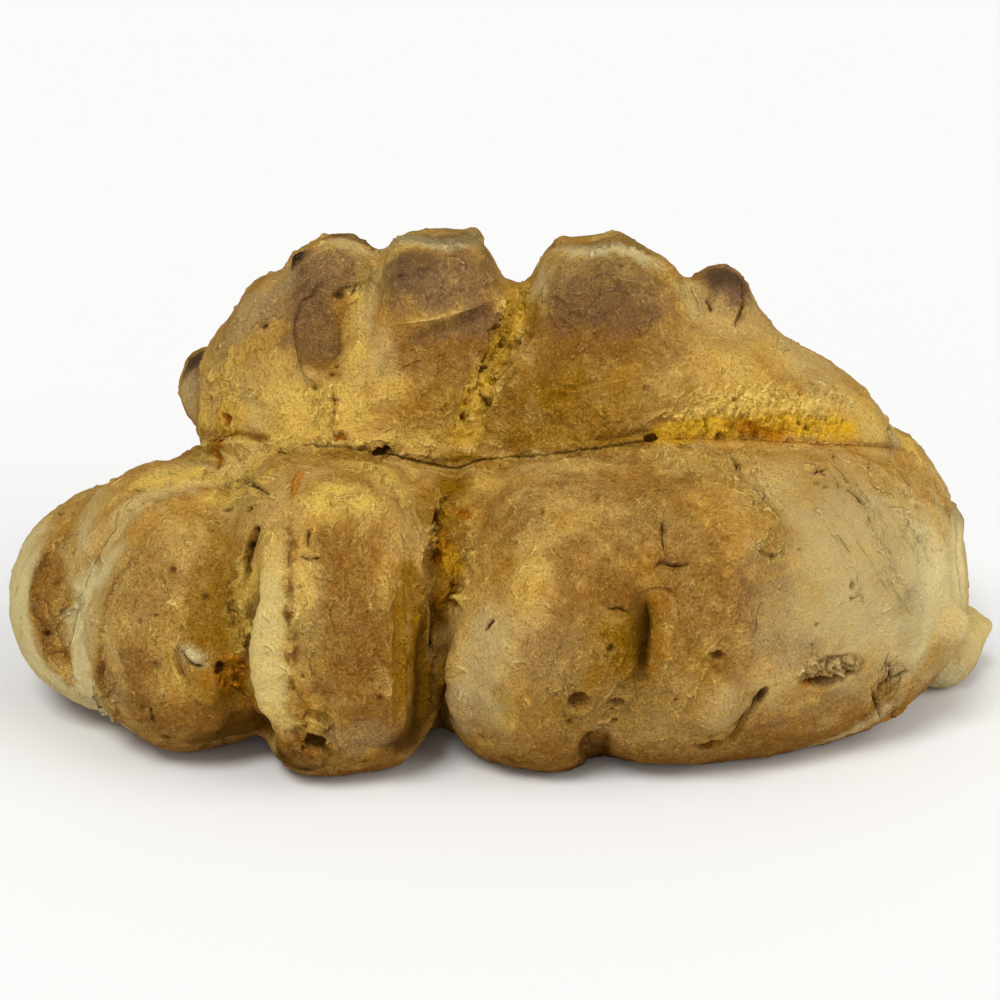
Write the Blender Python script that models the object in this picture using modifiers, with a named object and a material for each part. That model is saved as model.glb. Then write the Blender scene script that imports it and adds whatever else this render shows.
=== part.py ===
"""Durum wheat loaf: dough folded over on itself, so that a toothed upper lip of four horns rests on a
lower lip of thick cut lobes. It was baked on a hearth and stands on its flat sole.

Metres, +Z up. The mouth, the fold's open side, faces -Y. Places and sizes in the tables below are in
millimetres: x across the loaf, y towards its back and z up from the sole. Marks on the skin are laid
out on an upright sheet facing an eye in front of the loaf, or behind it, as (across, up) from the
sheet's middle, and fall on the skin along the lines of sight.
"""

import math
from dataclasses import dataclass
from enum import Enum

import bmesh
import bpy
import numpy as np
from mathutils import Euler, Matrix, Vector, noise
from mathutils.bvhtree import BVHTree

MM = 0.001

# How finely the dough is worked before it is thinned to its final faces.
WORK_VOXEL = 2.0 * MM
FINAL_TRIANGLES = 11700
SOFTENING_ROUNDS = 10
LAST_SOFTENING_ROUNDS = 1

# The eye that the marks are laid out for, and the middle of the sheet it looks at.
EYE_DISTANCE = 1150
EYE_ELEVATION = 20
SHEET_MIDDLE = (0, -20, 76.7)
SIGHT_STEP = 4

# The crust is never even: broad swells, and a finer puckering over them.
SWELL_SIZE = 34
SWELL_HEIGHT = 1.6
PUCKER_SIZE = 11
PUCKER_HEIGHT = 0.5
CRAG_SIZE = 6

SOLE_FLATNESS = 0.1 * MM

CRUST_COLOUR = (0.42, 0.27, 0.09, 1.0)
CRUST_ROUGHNESS = 0.8

# Furrows are followed in steps this long, and thin out over this share of each end.
ROUTE_STEP = 2.0
TAPER = 0.3
DEPTH_WANDER = 0.35
WANDER_SIZE = 9


class Side(Enum):
    """The side of the loaf that a mark is laid out from."""

    FRONT = 0
    BACK = 180


@dataclass(frozen=True)
class Lobe:
    """One swelling of dough. Above 2, its squareness makes it boxier than an ellipsoid."""

    name: str
    centre: tuple[float, float, float]
    radii: tuple[float, float, float]
    turn: tuple[float, float, float] = (0.0, 0.0, 0.0)
    squareness: float = 2.0


@dataclass(frozen=True)
class Furrow:
    """A crease, cut or tear along a route. Its lips stand up beside it. A negative depth is a ridge.

    Its ends fade out unless it runs on into the next furrow.
    """

    name: str
    route: tuple[tuple[float, float], ...]
    width: float
    depth: float
    lip: float = 0.0
    side: Side = Side.FRONT
    fades: bool = True


@dataclass(frozen=True)
class Hollow:
    """A scooped patch with a soft floor, or, with a negative depth, a blister. Torn crumb is craggy."""

    name: str
    centre: tuple[float, float]
    radii: tuple[float, float]
    depth: float
    turn: float = 0.0
    crag: float = 0.0
    side: Side = Side.FRONT


BODY = (
    Lobe("hearth_side", (0, 16, 44), (150, 76, 50)),
    Lobe("folded_back", (2, 24, 96), (102, 60, 46)),
    Lobe("front_apron", (-8, -34, 34), (118, 46, 38)),
)

LOWER_LIP = (
    Lobe("left_end", (-122.5, -19, 38.5), (57.5, 57, 40.5), (0, 0, 0), 2.2),
    Lobe("left_top", (-104, 8, 60.5), (30, 40, 23.5)),
    Lobe("left_finger", (-111, -50, 48), (41, 56, 50), (0, 6, 22), 2.3),
    Lobe("middle_finger", (-57, -66, 54), (35, 52, 57), (0, -5, 4), 3.0),
    Lobe("middle_root", (-50, -30, 62), (48, 56, 46)),
    Lobe("right_finger", (22, -60, 50), (42.5, 56, 57), (0, 13, -5), 2.3),
    Lobe("tear_floor", (-14, -40, 68), (30, 46, 38)),
    Lobe("right_side", (82, -40, 49), (91, 68, 57), (0, 0, 20), 2.3),
    Lobe("right_belly", (64, -60, 51.5), (51, 55, 54), (0, 0, 6), 2.4),
    Lobe("right_end", (121, 12, 51), (52, 50, 49)),
    Lobe("tail", (164, -2, 13), (19, 25, 16)),
    Lobe("tail_horn", (171, -2, 20.5), (16, 12, 7), (0, 12, 0)),
)

UPPER_LIP = (
    Lobe("left_flap", (-109, 26, 105.5), (10, 26, 13.5)),
    Lobe("left_cheek", (-80.5, 6, 107), (30.5, 48, 39)),
    Lobe("left_shoulder", (-79.5, 6, 136), (20, 34, 17), (0, -42, 0)),
    Lobe("horn_1", (-55, 6, 130), (27, 36, 40), (0, -6, 0)),
    Lobe("left_face", (-42, -8, 108), (64, 46, 42), (0, 0, 0), 2.2),
    Lobe("horn_2", (-23, 0, 132), (26, 34, 39.5), (0, 0, 0), 2.7),
    Lobe("right_face", (54, -4, 104), (98, 48, 44), (0, 15, 0), 2.2),
    Lobe("horn_3", (36.5, 0, 129.5), (25.5, 34, 40), (0, 0, 0), 2.7),
    Lobe("horn_3_shoulder", (54, 2, 128), (22, 34, 36)),
    Lobe("horn_4", (81, 8, 128), (16, 24, 30)),
    Lobe("horn_4_flank", (88, 8, 126), (20, 26, 15.5), (0, 49, 0)),
    Lobe("right_slope", (108, 10, 85), (40, 44, 30), (0, 24, 0)),
)

UPPER_LIP_MARKS = (
    Furrow("horn_1_to_horn_2", ((-43, 94), (-48, 79), (-50, 68), (-47, 50)), 11, 6, 0.6),
    Furrow("horn_2_to_horn_3", ((8, 84), (6, 69), (1, 57), (-4, 47), (-8, 38), (-15, 20)), 9, 7, 1),
    Hollow("horn_2_to_horn_3_crumb", (-3, 48), (9, 30), 0.5, -22, 1.1),
    Furrow("horn_3_to_horn_4", ((70, 80), (73, 68)), 9, 4),
    Furrow("horn_4_crease", ((88, 79), (88, 70), (86, 64)), 5, 3, 0.5),
    Hollow("horn_1_blister", (-74, 88), (5, 4), -2.5),
    Hollow("horn_1_crest", (-55, 98), (9, 4), -2),
    Hollow("horn_2_crest", (-9, 99), (8, 4), -2),
    Hollow("horn_3_left_crest", (22, 96), (7, 4), -2),
    Hollow("horn_3_right_crest", (45, 97), (8, 4), -2),
    Hollow("horn_1_scoop", (-66, 64), (10, 20), 5, -6),
    Furrow("scoop_brow", ((-76, 72), (-71, 73), (-68, 78), (-65, 81)), 4, -1.6),
    Furrow("scoop_left_lip", ((-74, 69), (-76, 57), (-74, 48), (-70, 44)), 4, -1.5),
    Hollow("scoop_pocket", (-59, 74), (4, 3), 2.5),
    Furrow("horn_2_fold", ((-47, 61), (-22, 66), (-7, 71), (2, 74)), 6, -2.2),
    Furrow("horn_2_under_fold", ((-44, 56), (-22, 61), (-4, 67)), 6, 1.8),
    Furrow("horn_3_brow", ((30, 72), (34, 77), (38, 80), (46, 79), (61, 76)), 4, -1.6),
    Furrow("horn_3_under_brow", ((33, 70), (39, 75), (48, 75), (60, 72)), 4, 1.2),
    Furrow("horn_3_blister", ((20, 73), (21, 63)), 4, -1.6),
    Furrow("fan_high", ((16, 42), (25, 53), (32, 61)), 3, 1.3, 0.5),
    Furrow("fan_middle", ((18, 43), (28, 51), (36, 58)), 3, 1.3, 0.5),
    Furrow("fan_low", ((16, 40), (27, 40), (40, 43), (48, 45)), 3, 1.3, 0.5),
    Furrow("left_flap_crease", ((-106, 55), (-105, 38), (-106, 23)), 4.5, 4, 0.6),
    Furrow("left_crumb_strip", ((-65, 38), (-65, 22)), 5, 2),
    Furrow("torn_crumb_band", ((52, 25), (73, 30), (95, 31), (130, 28)), 9, 4.5, 0.8),
    Hollow("torn_crumb", (93, 30), (36, 8), 0.3, 0, 1.1),
)

MOUTH = (
    Furrow("mouth_left", ((-107, 21), (-95, 20), (-62, 18), (-40, 16)), 5, 7, fades=False),
    Furrow("mouth_dip", ((-40, 16), (-26, 13), (-14, 11)), 5, 7, fades=False),
    Furrow("mouth_middle", ((-14, 11), (-9, 13), (15, 15), (37, 19), (55, 22)), 5, 7, fades=False),
    Furrow("mouth_right", ((55, 22), (95, 21), (128, 20), (148, 17)), 5, 4, fades=False),
    Hollow("mouth_hole", (-43, 18), (5, 3), 3),
)

LOWER_LIP_MARKS = (
    Furrow(
        "left_end_to_finger",
        ((-128, 1), (-139, -9), (-150, -26), (-156, -44), (-157, -58), (-154, -71)),
        9,
        9,
    ),
    Hollow("left_end_scoop", (-160, -37), (8, 25), 5, 8),
    Furrow(
        "left_end_rim",
        ((-151, -11), (-161, -15), (-167, -24), (-170, -37), (-167, -51), (-160, -61)),
        3.5,
        -1.3,
    ),
    Hollow("left_finger_disc", (-120, -50), (24, 30), 3, 12),
    Furrow(
        "left_finger_rim",
        ((-125, -12), (-135, -22), (-143, -37), (-147, -53), (-145, -69), (-140, -80)),
        4,
        -1.8,
    ),
    Furrow("left_finger_shell", ((-121, -51), (-120, -62), (-115, -69), (-106, -75)), 4, -1.6),
    Furrow(
        "left_to_middle_finger",
        ((-87, -10), (-90, -17), (-90, -33), (-91, -46), (-91, -58), (-88, -73), (-81, -88)),
        7,
        11,
        0.8,
    ),
    Hollow("middle_finger_taper", (-86, -84), (9, 16), 7),
    Hollow("left_finger_underside", (-97, -89), (13, 9), 7),
    Furrow("left_top_pocket", ((-95, 22), (-100, 17), (-103, 11)), 3.5, 3, 0.8),
    Furrow("left_top_tear", ((-99, 6), (-91, 3), (-84, 5)), 3, 2, 0.6),
    Furrow("middle_finger_edge", ((-77, 0), (-77, -37), (-76, -66)), 5, -1.6),
    Hollow("middle_finger_dent", (-73, -57), (4, 8), 2),
    Furrow("middle_finger_ridge", ((-41, -22), (-40, -58), (-39, -91)), 7, -2),
    Hollow("middle_finger_scallop", (-66, -82), (12, 17), 4, -10, 1),
    Hollow("middle_finger_hole", (-66, -88), (4.5, 3.5), 4),
    Furrow("finger_tear", ((-14, 12), (-20, -4), (-22, -16), (-28, -32)), 10, 6, 1),
    Hollow("finger_crumb", (-17, -12), (11, 22), 0.5, -10, 1.1),
    Furrow("finger_gap", ((-24, -33), (-21, -55), (-20, -73), (-19, -88)), 8, 11),
    Furrow("right_finger_flank", ((-4, 0), (-12, -20), (-18, -42)), 10, 5),
    Furrow("crumb_arc", ((33, -36), (23, -51), (17, -69), (9, -80), (6, -94)), 8, 2.4),
    Furrow("side_slit", ((53, -36), (52, -51), (51, -67)), 6, 6, 0.8),
    Furrow("slit_brow", ((51, -34), (66, -36)), 4, -1.4),
    Hollow("large_pit", (28, -73), (3.6, 3.6), 3.5),
    Hollow("middle_pit", (40, -54), (2.5, 2.5), 2),
    Hollow("right_pit", (79, -57), (3, 2.6), 2),
    Furrow("sole_notch", ((37, -100), (36, -94), (36, -84)), 8, 14),
    Furrow("top_furrow", ((60, 22), (73, 16), (84, 7)), 4, 1.6, 0.5),
    Furrow("long_crack", ((80, 20), (87, 11), (95, 1), (103, -9)), 3.4, 2, 0.6),
    Furrow("short_crack", ((60, -4), (61, -22)), 3, 1.4, 0.4),
    Furrow("cross_crack", ((57, -22), (69, -25)), 3, 1.4, 0.4),
    Hollow("peeled_patch", (87, -77), (9, 13), 2.2, -12),
    Hollow("peeled_edge", (96, -71), (2.5, 6), 2),
    Hollow("torn_strip", (120, -61), (15, 5), 1.5, 4, 0.8),
    Hollow("bark_patch", (142, -69), (9, 13), 1.8, -15, 0.5),
    Furrow("right_rim", ((158, 9), (165, -10), (168, -26), (168, -48)), 6, 4.5, 1),
    Hollow("right_nub", (151, 17), (4, 4), -2),
)

BACK_MARKS = (
    Furrow("back_valley_left", ((44, 80), (46, 50), (52, 22)), 13, 5, 0, Side.BACK),
    Furrow("back_valley_middle", ((-8, 72), (-10, 42), (-14, 8)), 15, 7, 0, Side.BACK),
    Furrow("back_valley_right", ((-70, 70), (-76, 44), (-86, 22)), 12, 5, 0, Side.BACK),
    Furrow("back_fold", ((120, 2), (70, -14), (10, -18), (-60, -14), (-118, 0)), 14, 3, 0, Side.BACK),
    Furrow("back_crack", ((62, -20), (50, -34), (30, -40)), 5, 2, 0.6, Side.BACK),
    Hollow("back_blister", (-40, 30), (12, 8), -2, 20, side=Side.BACK),
)


def clear_scene():
    """Removes what the start-up scene holds."""
    for thing in list(bpy.data.objects):
        bpy.data.objects.remove(thing)


def mesh_points(mesh):
    """The mesh's vertices as an array."""
    points = np.empty(len(mesh.vertices) * 3)
    mesh.vertices.foreach_get("co", points)
    return points.reshape(-1, 3)


def mesh_normals(mesh):
    """The mesh's vertex normals as an array."""
    normals = np.empty(len(mesh.vertices) * 3)
    mesh.vertices.foreach_get("normal", normals)
    return normals.reshape(-1, 3)


def set_mesh_points(mesh, points):
    """Moves the mesh's vertices to an array of points."""
    mesh.vertices.foreach_set("co", points.ravel())
    mesh.update()


def apply_modifiers(thing):
    """Replaces the object's mesh with its evaluated one."""
    graph = bpy.context.evaluated_depsgraph_get()
    mesh = bpy.data.meshes.new_from_object(thing.evaluated_get(graph))
    thing.modifiers.clear()
    thing.data = mesh


def lobe_object(lobe, collection):
    """A closed rounded block for one lobe."""
    bpy.ops.mesh.primitive_uv_sphere_add(segments=48, ring_count=24, radius=1.0)
    made = bpy.context.object
    made.name = lobe.name
    points = mesh_points(made.data)
    power = lobe.squareness
    length = (np.abs(points) ** power).sum(axis=1) ** (1 / power)
    set_mesh_points(made.data, points / length[:, None] * np.array(lobe.radii) * MM)
    turn = Euler([math.radians(angle) for angle in lobe.turn]).to_matrix().to_4x4()
    made.data.transform(Matrix.Translation(Vector(lobe.centre) * MM) @ turn)
    for owner in list(made.users_collection):
        owner.objects.unlink(made)
    collection.objects.link(made)
    return made


def joined(objects, name):
    """All objects as one mesh object, whose shells still overlap."""
    bpy.ops.object.select_all(action="DESELECT")
    for one in objects:
        one.select_set(True)
    bpy.context.view_layer.objects.active = objects[0]
    bpy.ops.object.join()
    objects[0].name = name
    return objects[0]


def fuse(thing, voxel):
    """Joins the overlapping shells into one closed skin."""
    remesh = thing.modifiers.new("fuse", "REMESH")
    remesh.mode = "VOXEL"
    remesh.voxel_size = voxel
    apply_modifiers(thing)


def soften(thing, rounds):
    """Rounds the dough off, as it swells in the oven."""
    smooth = thing.modifiers.new("soften", "SMOOTH")
    smooth.factor = 0.5
    smooth.iterations = rounds
    apply_modifiers(thing)


def line_of_sight(place, side):
    """The eye, and its direction towards a place on the sheet."""
    heading = math.radians(side.value)
    rise = math.radians(EYE_ELEVATION)
    back = Vector((math.sin(heading), -math.cos(heading), 0)) * math.cos(rise)
    back.z = math.sin(rise)
    across = Vector((math.cos(heading), math.sin(heading), 0))
    up = back.cross(across)
    middle = Vector(SHEET_MIDDLE) * MM
    eye = middle + back * EYE_DISTANCE * MM
    aim = middle + (across * place[0] + up * place[1]) * MM
    return eye, (aim - eye).normalized()


def on_skin(tree, place, side):
    """Where a place on the sheet falls on the skin, and the normal there. A near miss takes the outline."""
    eye, sight = line_of_sight(place, side)
    point, normal, _, _ = tree.ray_cast(eye, sight)
    if point is not None:
        return point, normal
    reach = range(EYE_DISTANCE - 200, EYE_DISTANCE + 200, SIGHT_STEP)
    near = (tree.find_nearest(eye + sight * far * MM) for far in reach)
    point, normal, _, _ = min(near, key=lambda found: found[3])
    return point, normal


def stepped(route):
    """The route's corners rounded off and cut into short steps."""
    corners = [Vector(place) for place in route]
    ends = [2 * corners[0] - corners[1], *corners, 2 * corners[-1] - corners[-2]]
    places = []
    for before, start, stop, after in zip(ends, ends[1:], ends[2:], ends[3:]):
        steps = max(1, round((stop - start).length / ROUTE_STEP))
        for step in range(steps):
            t = step / steps
            bend = 2 * before - 5 * start + 4 * stop - after
            twist = 3 * start - before - 3 * stop + after
            places.append(start + 0.5 * t * ((stop - before) + t * (bend + t * twist)))
    return [*places, corners[-1]]


def unevenness(points, size):
    """A smooth random height at each point, from -1 to 1, for lumps of about this size."""
    return np.array([noise.noise(Vector(point) / (size * MM)) for point in points])


def furrow_shift(furrow, points, normals, tree):
    """How far the furrow moves each point of the skin."""
    found = [on_skin(tree, place, furrow.side) for place in stepped(furrow.route)]
    line = np.array([point for point, _ in found])
    outward = np.array([normal for _, normal in found])
    away = np.full(len(points), np.inf)
    push = np.zeros_like(points)
    share = np.zeros(len(points))
    for step, (start, stop, normal) in enumerate(zip(line, line[1:], outward)):
        along = stop - start
        t = np.clip((points - start) @ along / max(along @ along, 1e-12), 0, 1)
        gap = np.linalg.norm(points - start - t[:, None] * along, axis=1)
        nearer = gap < away
        push[nearer] = -normal
        share[nearer] = (step + t[nearer]) / (len(line) - 1)
        away = np.minimum(away, gap)
    strength = np.ones(len(points))
    if furrow.fades:
        strength = np.clip(np.minimum(share, 1 - share) / TAPER, 0, 1) ** 0.7
    away /= furrow.width * MM * (0.55 + 0.45 * strength)
    drop = np.clip(1 - away, 0, 1) ** 1.5 * furrow.depth
    drop -= np.exp(-(((away - 1.1) / 0.55) ** 2)) * furrow.lip
    close = np.abs(drop) > 0
    strength[close] *= 1 + DEPTH_WANDER * unevenness(points[close], WANDER_SIZE)
    turned = np.clip(-(normals * push).sum(axis=1) * 2 + 0.6, 0, 1)
    return (drop * strength * turned * MM)[:, None] * push


def hollow_shift(hollow, points, normals, tree):
    """How far the hollow moves each point of the skin."""
    point, normal = on_skin(tree, hollow.centre, hollow.side)
    normal = np.array(normal)
    eye, _ = line_of_sight(hollow.centre, hollow.side)
    across = np.cross((0, 0, 1), np.array(eye) - np.array(point))
    across -= normal * (across @ normal)
    across /= np.linalg.norm(across)
    up = np.cross(normal, across)
    turn = math.radians(hollow.turn)
    long_way = across * math.cos(turn) + up * math.sin(turn)
    short_way = up * math.cos(turn) - across * math.sin(turn)
    offset = points - np.array(point)
    radii = np.array(hollow.radii) * MM
    spread = (offset @ long_way / radii[0]) ** 2 + (offset @ short_way / radii[1]) ** 2
    spread += (offset @ normal / (2 * radii.max())) ** 2
    drop = np.clip(1 - spread, 0, 1) ** 1.5 * hollow.depth
    if hollow.crag:
        inside = spread < 1
        rise = np.clip((1 - spread[inside]) * 3, 0, 1) * hollow.crag
        drop[inside] -= rise * unevenness(points[inside], CRAG_SIZE) * 2
    turned = np.clip(normals @ normal * 2 + 0.6, 0, 1)
    return -(drop * turned * MM)[:, None] * normal


def mark_skin(thing):
    """Works the furrows and hollows into the skin."""
    mesh = thing.data
    faces = [face.vertices[:] for face in mesh.polygons]
    for mark in UPPER_LIP_MARKS + MOUTH + LOWER_LIP_MARKS + BACK_MARKS:
        points = mesh_points(mesh)
        tree = BVHTree.FromPolygons(points.tolist(), faces)
        shift = furrow_shift if isinstance(mark, Furrow) else hollow_shift
        set_mesh_points(mesh, points + shift(mark, points, mesh_normals(mesh), tree))


def roughen(thing):
    """Gives the skin its broad swells and its finer puckering."""
    mesh = thing.data
    points = mesh_points(mesh)
    heights = unevenness(points, SWELL_SIZE) * SWELL_HEIGHT
    heights += unevenness(points, PUCKER_SIZE) * PUCKER_HEIGHT
    set_mesh_points(mesh, points + heights[:, None] * MM * mesh_normals(mesh))


def cut_sole(thing):
    """Cuts the loaf off flat where it rests on the hearth."""
    work = bmesh.new()
    work.from_mesh(thing.data)
    everything = work.verts[:] + work.edges[:] + work.faces[:]
    cut = bmesh.ops.bisect_plane(
        work, geom=everything, plane_co=(0, 0, 0), plane_no=(0, 0, -1), clear_outer=True
    )
    rim = [part for part in cut["geom_cut"] if isinstance(part, bmesh.types.BMEdge)]
    bmesh.ops.holes_fill(work, edges=rim, sides=0)
    bmesh.ops.triangulate(work, faces=work.faces[:])
    work.to_mesh(thing.data)
    work.free()


def thin(thing, triangles):
    """Thins the mesh to about this many triangles, keeping them where the form bends."""
    thing.data.calc_loop_triangles()
    decimate = thing.modifiers.new("thin", "DECIMATE")
    decimate.ratio = min(1.0, triangles / len(thing.data.loop_triangles))
    decimate.use_collapse_triangulate = True
    apply_modifiers(thing)


def stand_on_origin(thing):
    """Moves the loaf so that the middle of its outline on the hearth is the origin, its sole level."""
    points = mesh_points(thing.data)
    middle = (points.min(axis=0) + points.max(axis=0)) / 2
    points -= [middle[0], middle[1], points[:, 2].min()]
    points[points[:, 2] < SOLE_FLATNESS, 2] = 0
    set_mesh_points(thing.data, points)


def crust_material():
    """Golden-brown baked crust."""
    crust = bpy.data.materials.new("crust")
    crust.use_nodes = True
    shader = crust.node_tree.nodes["Principled BSDF"]
    shader.inputs["Base Color"].default_value = CRUST_COLOUR
    shader.inputs["Roughness"].default_value = CRUST_ROUGHNESS
    shader.inputs["Metallic"].default_value = 0.0
    return crust


def build_loaf():
    """The whole loaf as one solid."""
    collection = bpy.data.collections.new("durum_wheat_loaf")
    bpy.context.scene.collection.children.link(collection)
    lobes = [lobe_object(lobe, collection) for lobe in BODY + LOWER_LIP + UPPER_LIP]
    loaf = joined(lobes, "loaf")
    fuse(loaf, WORK_VOXEL)
    soften(loaf, SOFTENING_ROUNDS)
    mark_skin(loaf)
    roughen(loaf)
    fuse(loaf, WORK_VOXEL)
    soften(loaf, LAST_SOFTENING_ROUNDS)
    cut_sole(loaf)
    thin(loaf, FINAL_TRIANGLES)
    stand_on_origin(loaf)
    loaf.data.materials.clear()
    loaf.data.materials.append(crust_material())


def main():
    """Builds the loaf in an empty scene."""
    clear_scene()
    build_loaf()


main()
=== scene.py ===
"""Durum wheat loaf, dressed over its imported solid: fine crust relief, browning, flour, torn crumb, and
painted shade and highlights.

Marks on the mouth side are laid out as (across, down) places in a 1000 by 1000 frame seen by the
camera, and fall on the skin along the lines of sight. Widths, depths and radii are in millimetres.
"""

import logging
import math
import random
from dataclasses import dataclass, field, replace
from enum import Enum
from functools import partial

import bmesh
import bpy
import numpy as np
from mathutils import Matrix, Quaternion, Vector, noise
from mathutils.bvhtree import BVHTree
from mathutils.kdtree import KDTree


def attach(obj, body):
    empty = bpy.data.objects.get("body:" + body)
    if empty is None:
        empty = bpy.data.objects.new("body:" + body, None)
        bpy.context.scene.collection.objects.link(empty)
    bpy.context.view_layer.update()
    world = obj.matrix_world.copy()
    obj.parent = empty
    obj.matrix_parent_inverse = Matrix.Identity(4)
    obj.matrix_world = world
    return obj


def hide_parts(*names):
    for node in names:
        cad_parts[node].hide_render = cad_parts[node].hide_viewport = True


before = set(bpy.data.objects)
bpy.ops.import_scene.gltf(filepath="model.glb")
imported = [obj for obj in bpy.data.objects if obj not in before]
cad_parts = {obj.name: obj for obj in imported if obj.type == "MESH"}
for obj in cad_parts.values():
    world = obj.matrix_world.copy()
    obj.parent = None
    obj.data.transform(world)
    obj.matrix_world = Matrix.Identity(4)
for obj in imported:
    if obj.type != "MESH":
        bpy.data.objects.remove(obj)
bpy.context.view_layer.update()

LOG = logging.getLogger("loaf")
MM = 0.001
PIXEL = 0.3655  # millimetres that one pixel of the frame spans on the loaf
FAR = 9.0  # millimetres from the nearest thin line, where none is near
THIN = 3.0  # widest thin line, in millimetres
ROUTE_STEP = 4.0  # pixels between the points of a route
PATH_STEP = 1.5  # millimetres between the points of a wandering line
LINE_REACH, SPOT_REACH = 2.6, 1.6  # how far marks are felt, in widths and in radii
LINE_LIP, SPOT_LIP = (1.15, 0.4), (1.1, 0.25)  # where a mark's lip stands and how wide it is
SOFT_SIDE = 0.8  # millimetres over which the left of a line passes into its right
EDGES_EVENED = 3  # points before and after one that share its outward direction
END_FADE = 0.25  # share of a line over which it fades at either end
RAGGED = (5.0, 2.2)  # lumps along a line's edge, in millimetres
PORES = ((6.5, 0.5, 0.7, 0.5), (3.0, 0.45, 0.8, 0.3))  # size, radius, roundness and share of the depth
THREADS = ((4.2, 8.0, 0.3), (2.4, 9.0, 0.2))  # size, seed and share of the depth

Place = tuple[float, float]
Route = tuple[Place, ...]
Colour = tuple[float, float, float]
Socket = bpy.types.NodeSocket
Value = Socket | float | Colour
Cloud = tuple[float, float, float, float]


class Tone(Enum):
    """What a patch of the loaf has become in the oven, and painted shade, each with the name of its attribute
    on the mesh.
    """

    # browning; on the lobes' lower parts also painted shade
    TOAST = "toast"
    MAUVE = "mauve"
    FLOUR = "flour"
    GOLD = "gold"
    CRUMB = "crumb"
    AMBER = "amber"
    CHAR = "char"
    # painted shade in cracks, pits, gaps and under the lobes
    SHADE = "shade"
    # dark crumb colour, and painted shade in gaps, creases, pits and under the lobes
    DEEP = "deep"


TOAST, MAUVE, FLOUR, GOLD, CRUMB, AMBER, CHAR, SHADE, DEEP = Tone


class Profile(Enum):
    """How a mark changes the skin."""

    CRACK = "sharp bottom"
    CREASE = "round bottom"
    RIDGE = "round back"
    STEP = "raised to the left of the way it runs, with a sharp edge"
    PIT = "steep round hole"
    HOLLOW = "soft scoop"
    BLISTER = "soft swelling"
    PEEL = "flat floor with a ragged rim"
    TORN = "open crumb"
    WASH = "colour alone"


# How strongly each kind of thin line is darkened along its bottom: painted shade in the crack.
DARKNESS = {Profile.CRACK: 1.0, Profile.CREASE: 0.5, Profile.RIDGE: 0.0, Profile.STEP: 0.35}
STEEPNESS = {Profile.PIT: 0.5, Profile.HOLLOW: 0.9, Profile.PEEL: 0.16}


@dataclass(frozen=True)
class Lookout:
    """A camera position from which marks are laid out, and the loaf is seen."""

    azimuth: float = 0.0
    elevation: float = 20.0
    distance: float = 1.15
    focal: float = 3146.6
    middle: float = 500.0
    aim: tuple[float, float, float] = (-0.0022, -0.0069, 0.0767)

    def back(self) -> Vector:
        """The direction from the loaf to the camera.

        Returns:
            A vector of length 1.
        """
        turn, rise = math.radians(self.azimuth), math.radians(self.elevation)
        flat = math.cos(rise)
        return Vector((math.sin(turn) * flat, -math.cos(turn) * flat, math.sin(rise)))

    def eye(self) -> Vector:
        """Where the camera stands."""
        return Vector(self.aim) + self.back() * self.distance

    def sight(self, place: Place) -> Vector:
        """The direction in which a place in the frame is seen.

        Args:
            place: Across and down in the frame, in pixels.

        Returns:
            The unit vector from the eye.
        """
        turn = math.radians(self.azimuth)
        across = Vector((math.cos(turn), math.sin(turn), 0.0))
        up = self.back().cross(across)
        aside = across * (place[0] - self.middle) + up * (self.middle - place[1])
        return (aside - self.back() * self.focal).normalized()

    def place(self, name: str, data: bpy.types.ID) -> bpy.types.Object:
        """Puts a light or the camera here, looking at the loaf.

        Args:
            name: Its name.
            data: The light or the camera.

        Returns:
            The object in the scene.
        """
        holder = bpy.data.objects.new(name, data)
        holder.location = self.eye()
        holder.rotation_euler = (-self.back()).to_track_quat("-Z", "Y").to_euler()
        bpy.context.scene.collection.objects.link(holder)
        return holder


FRONT = Lookout()


def unevenness(points: np.ndarray, size: float, seed: float = 0.0) -> np.ndarray:
    """A smooth random height at each point.

    Args:
        points: Places in metres.
        size: The lumps' size in millimetres.
        seed: A number that shifts the pattern.

    Returns:
        Heights between about -1 and 1.
    """
    scaled = points / (size * MM) + seed * 17.3
    return np.array([noise.noise(Vector(point)) for point in scaled])


def wrinkles(points: np.ndarray, size: float, seed: float = 0.0) -> np.ndarray:
    """Sharp-backed random ridges between round valleys, from -1 to 1."""
    return 1.0 - 2.0 * np.abs(unevenness(points, size, seed)) * 1.6


def smooth_step(value: np.ndarray, low: float, high: float) -> np.ndarray:
    """Rises smoothly from 0 at low to 1 at high."""
    share = np.clip((value - low) / (high - low), 0.0, 1.0)
    return share * share * (3.0 - 2.0 * share)


def ring(away: np.ndarray, lip: tuple[float, float]) -> np.ndarray:
    """1 at a lip's place, and less beside it."""
    return np.exp(-(((away - lip[0]) / lip[1]) ** 2))


def read_mesh(mesh: bpy.types.Mesh, what: str = "co") -> np.ndarray:
    """The mesh's vertices as an array.

    Args:
        mesh: The mesh.
        what: "co" for their places or "normal" for the directions in which they face.

    Returns:
        One row for each vertex.
    """
    values = np.empty(len(mesh.vertices) * 3)
    mesh.vertices.foreach_get(what, values)
    return values.reshape(-1, 3)


def unit(way: np.ndarray) -> np.ndarray:
    """The same direction with length 1."""
    return way / max(np.linalg.norm(way), 1e-9)


def open_crumb(points: np.ndarray, depth: float) -> np.ndarray:
    """How deep torn crumb lies: round pores of two sizes between thin walls and threads.

    Args:
        points: Places in metres.
        depth: The deepest pore in millimetres.

    Returns:
        Depths in millimetres.
    """
    deep = np.zeros(len(points))
    for size, radius, bend, share in PORES:
        gaps = (noise.voronoi(Vector(point) / (size * MM))[0][0] for point in points)
        deep += [max(0.0, 1 - gap / radius) ** bend * share for gap in gaps]
    threads = sum(wrinkles(points, size, seed) * share for size, seed, share in THREADS)
    return (deep + 0.5 - threads) * depth


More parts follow.
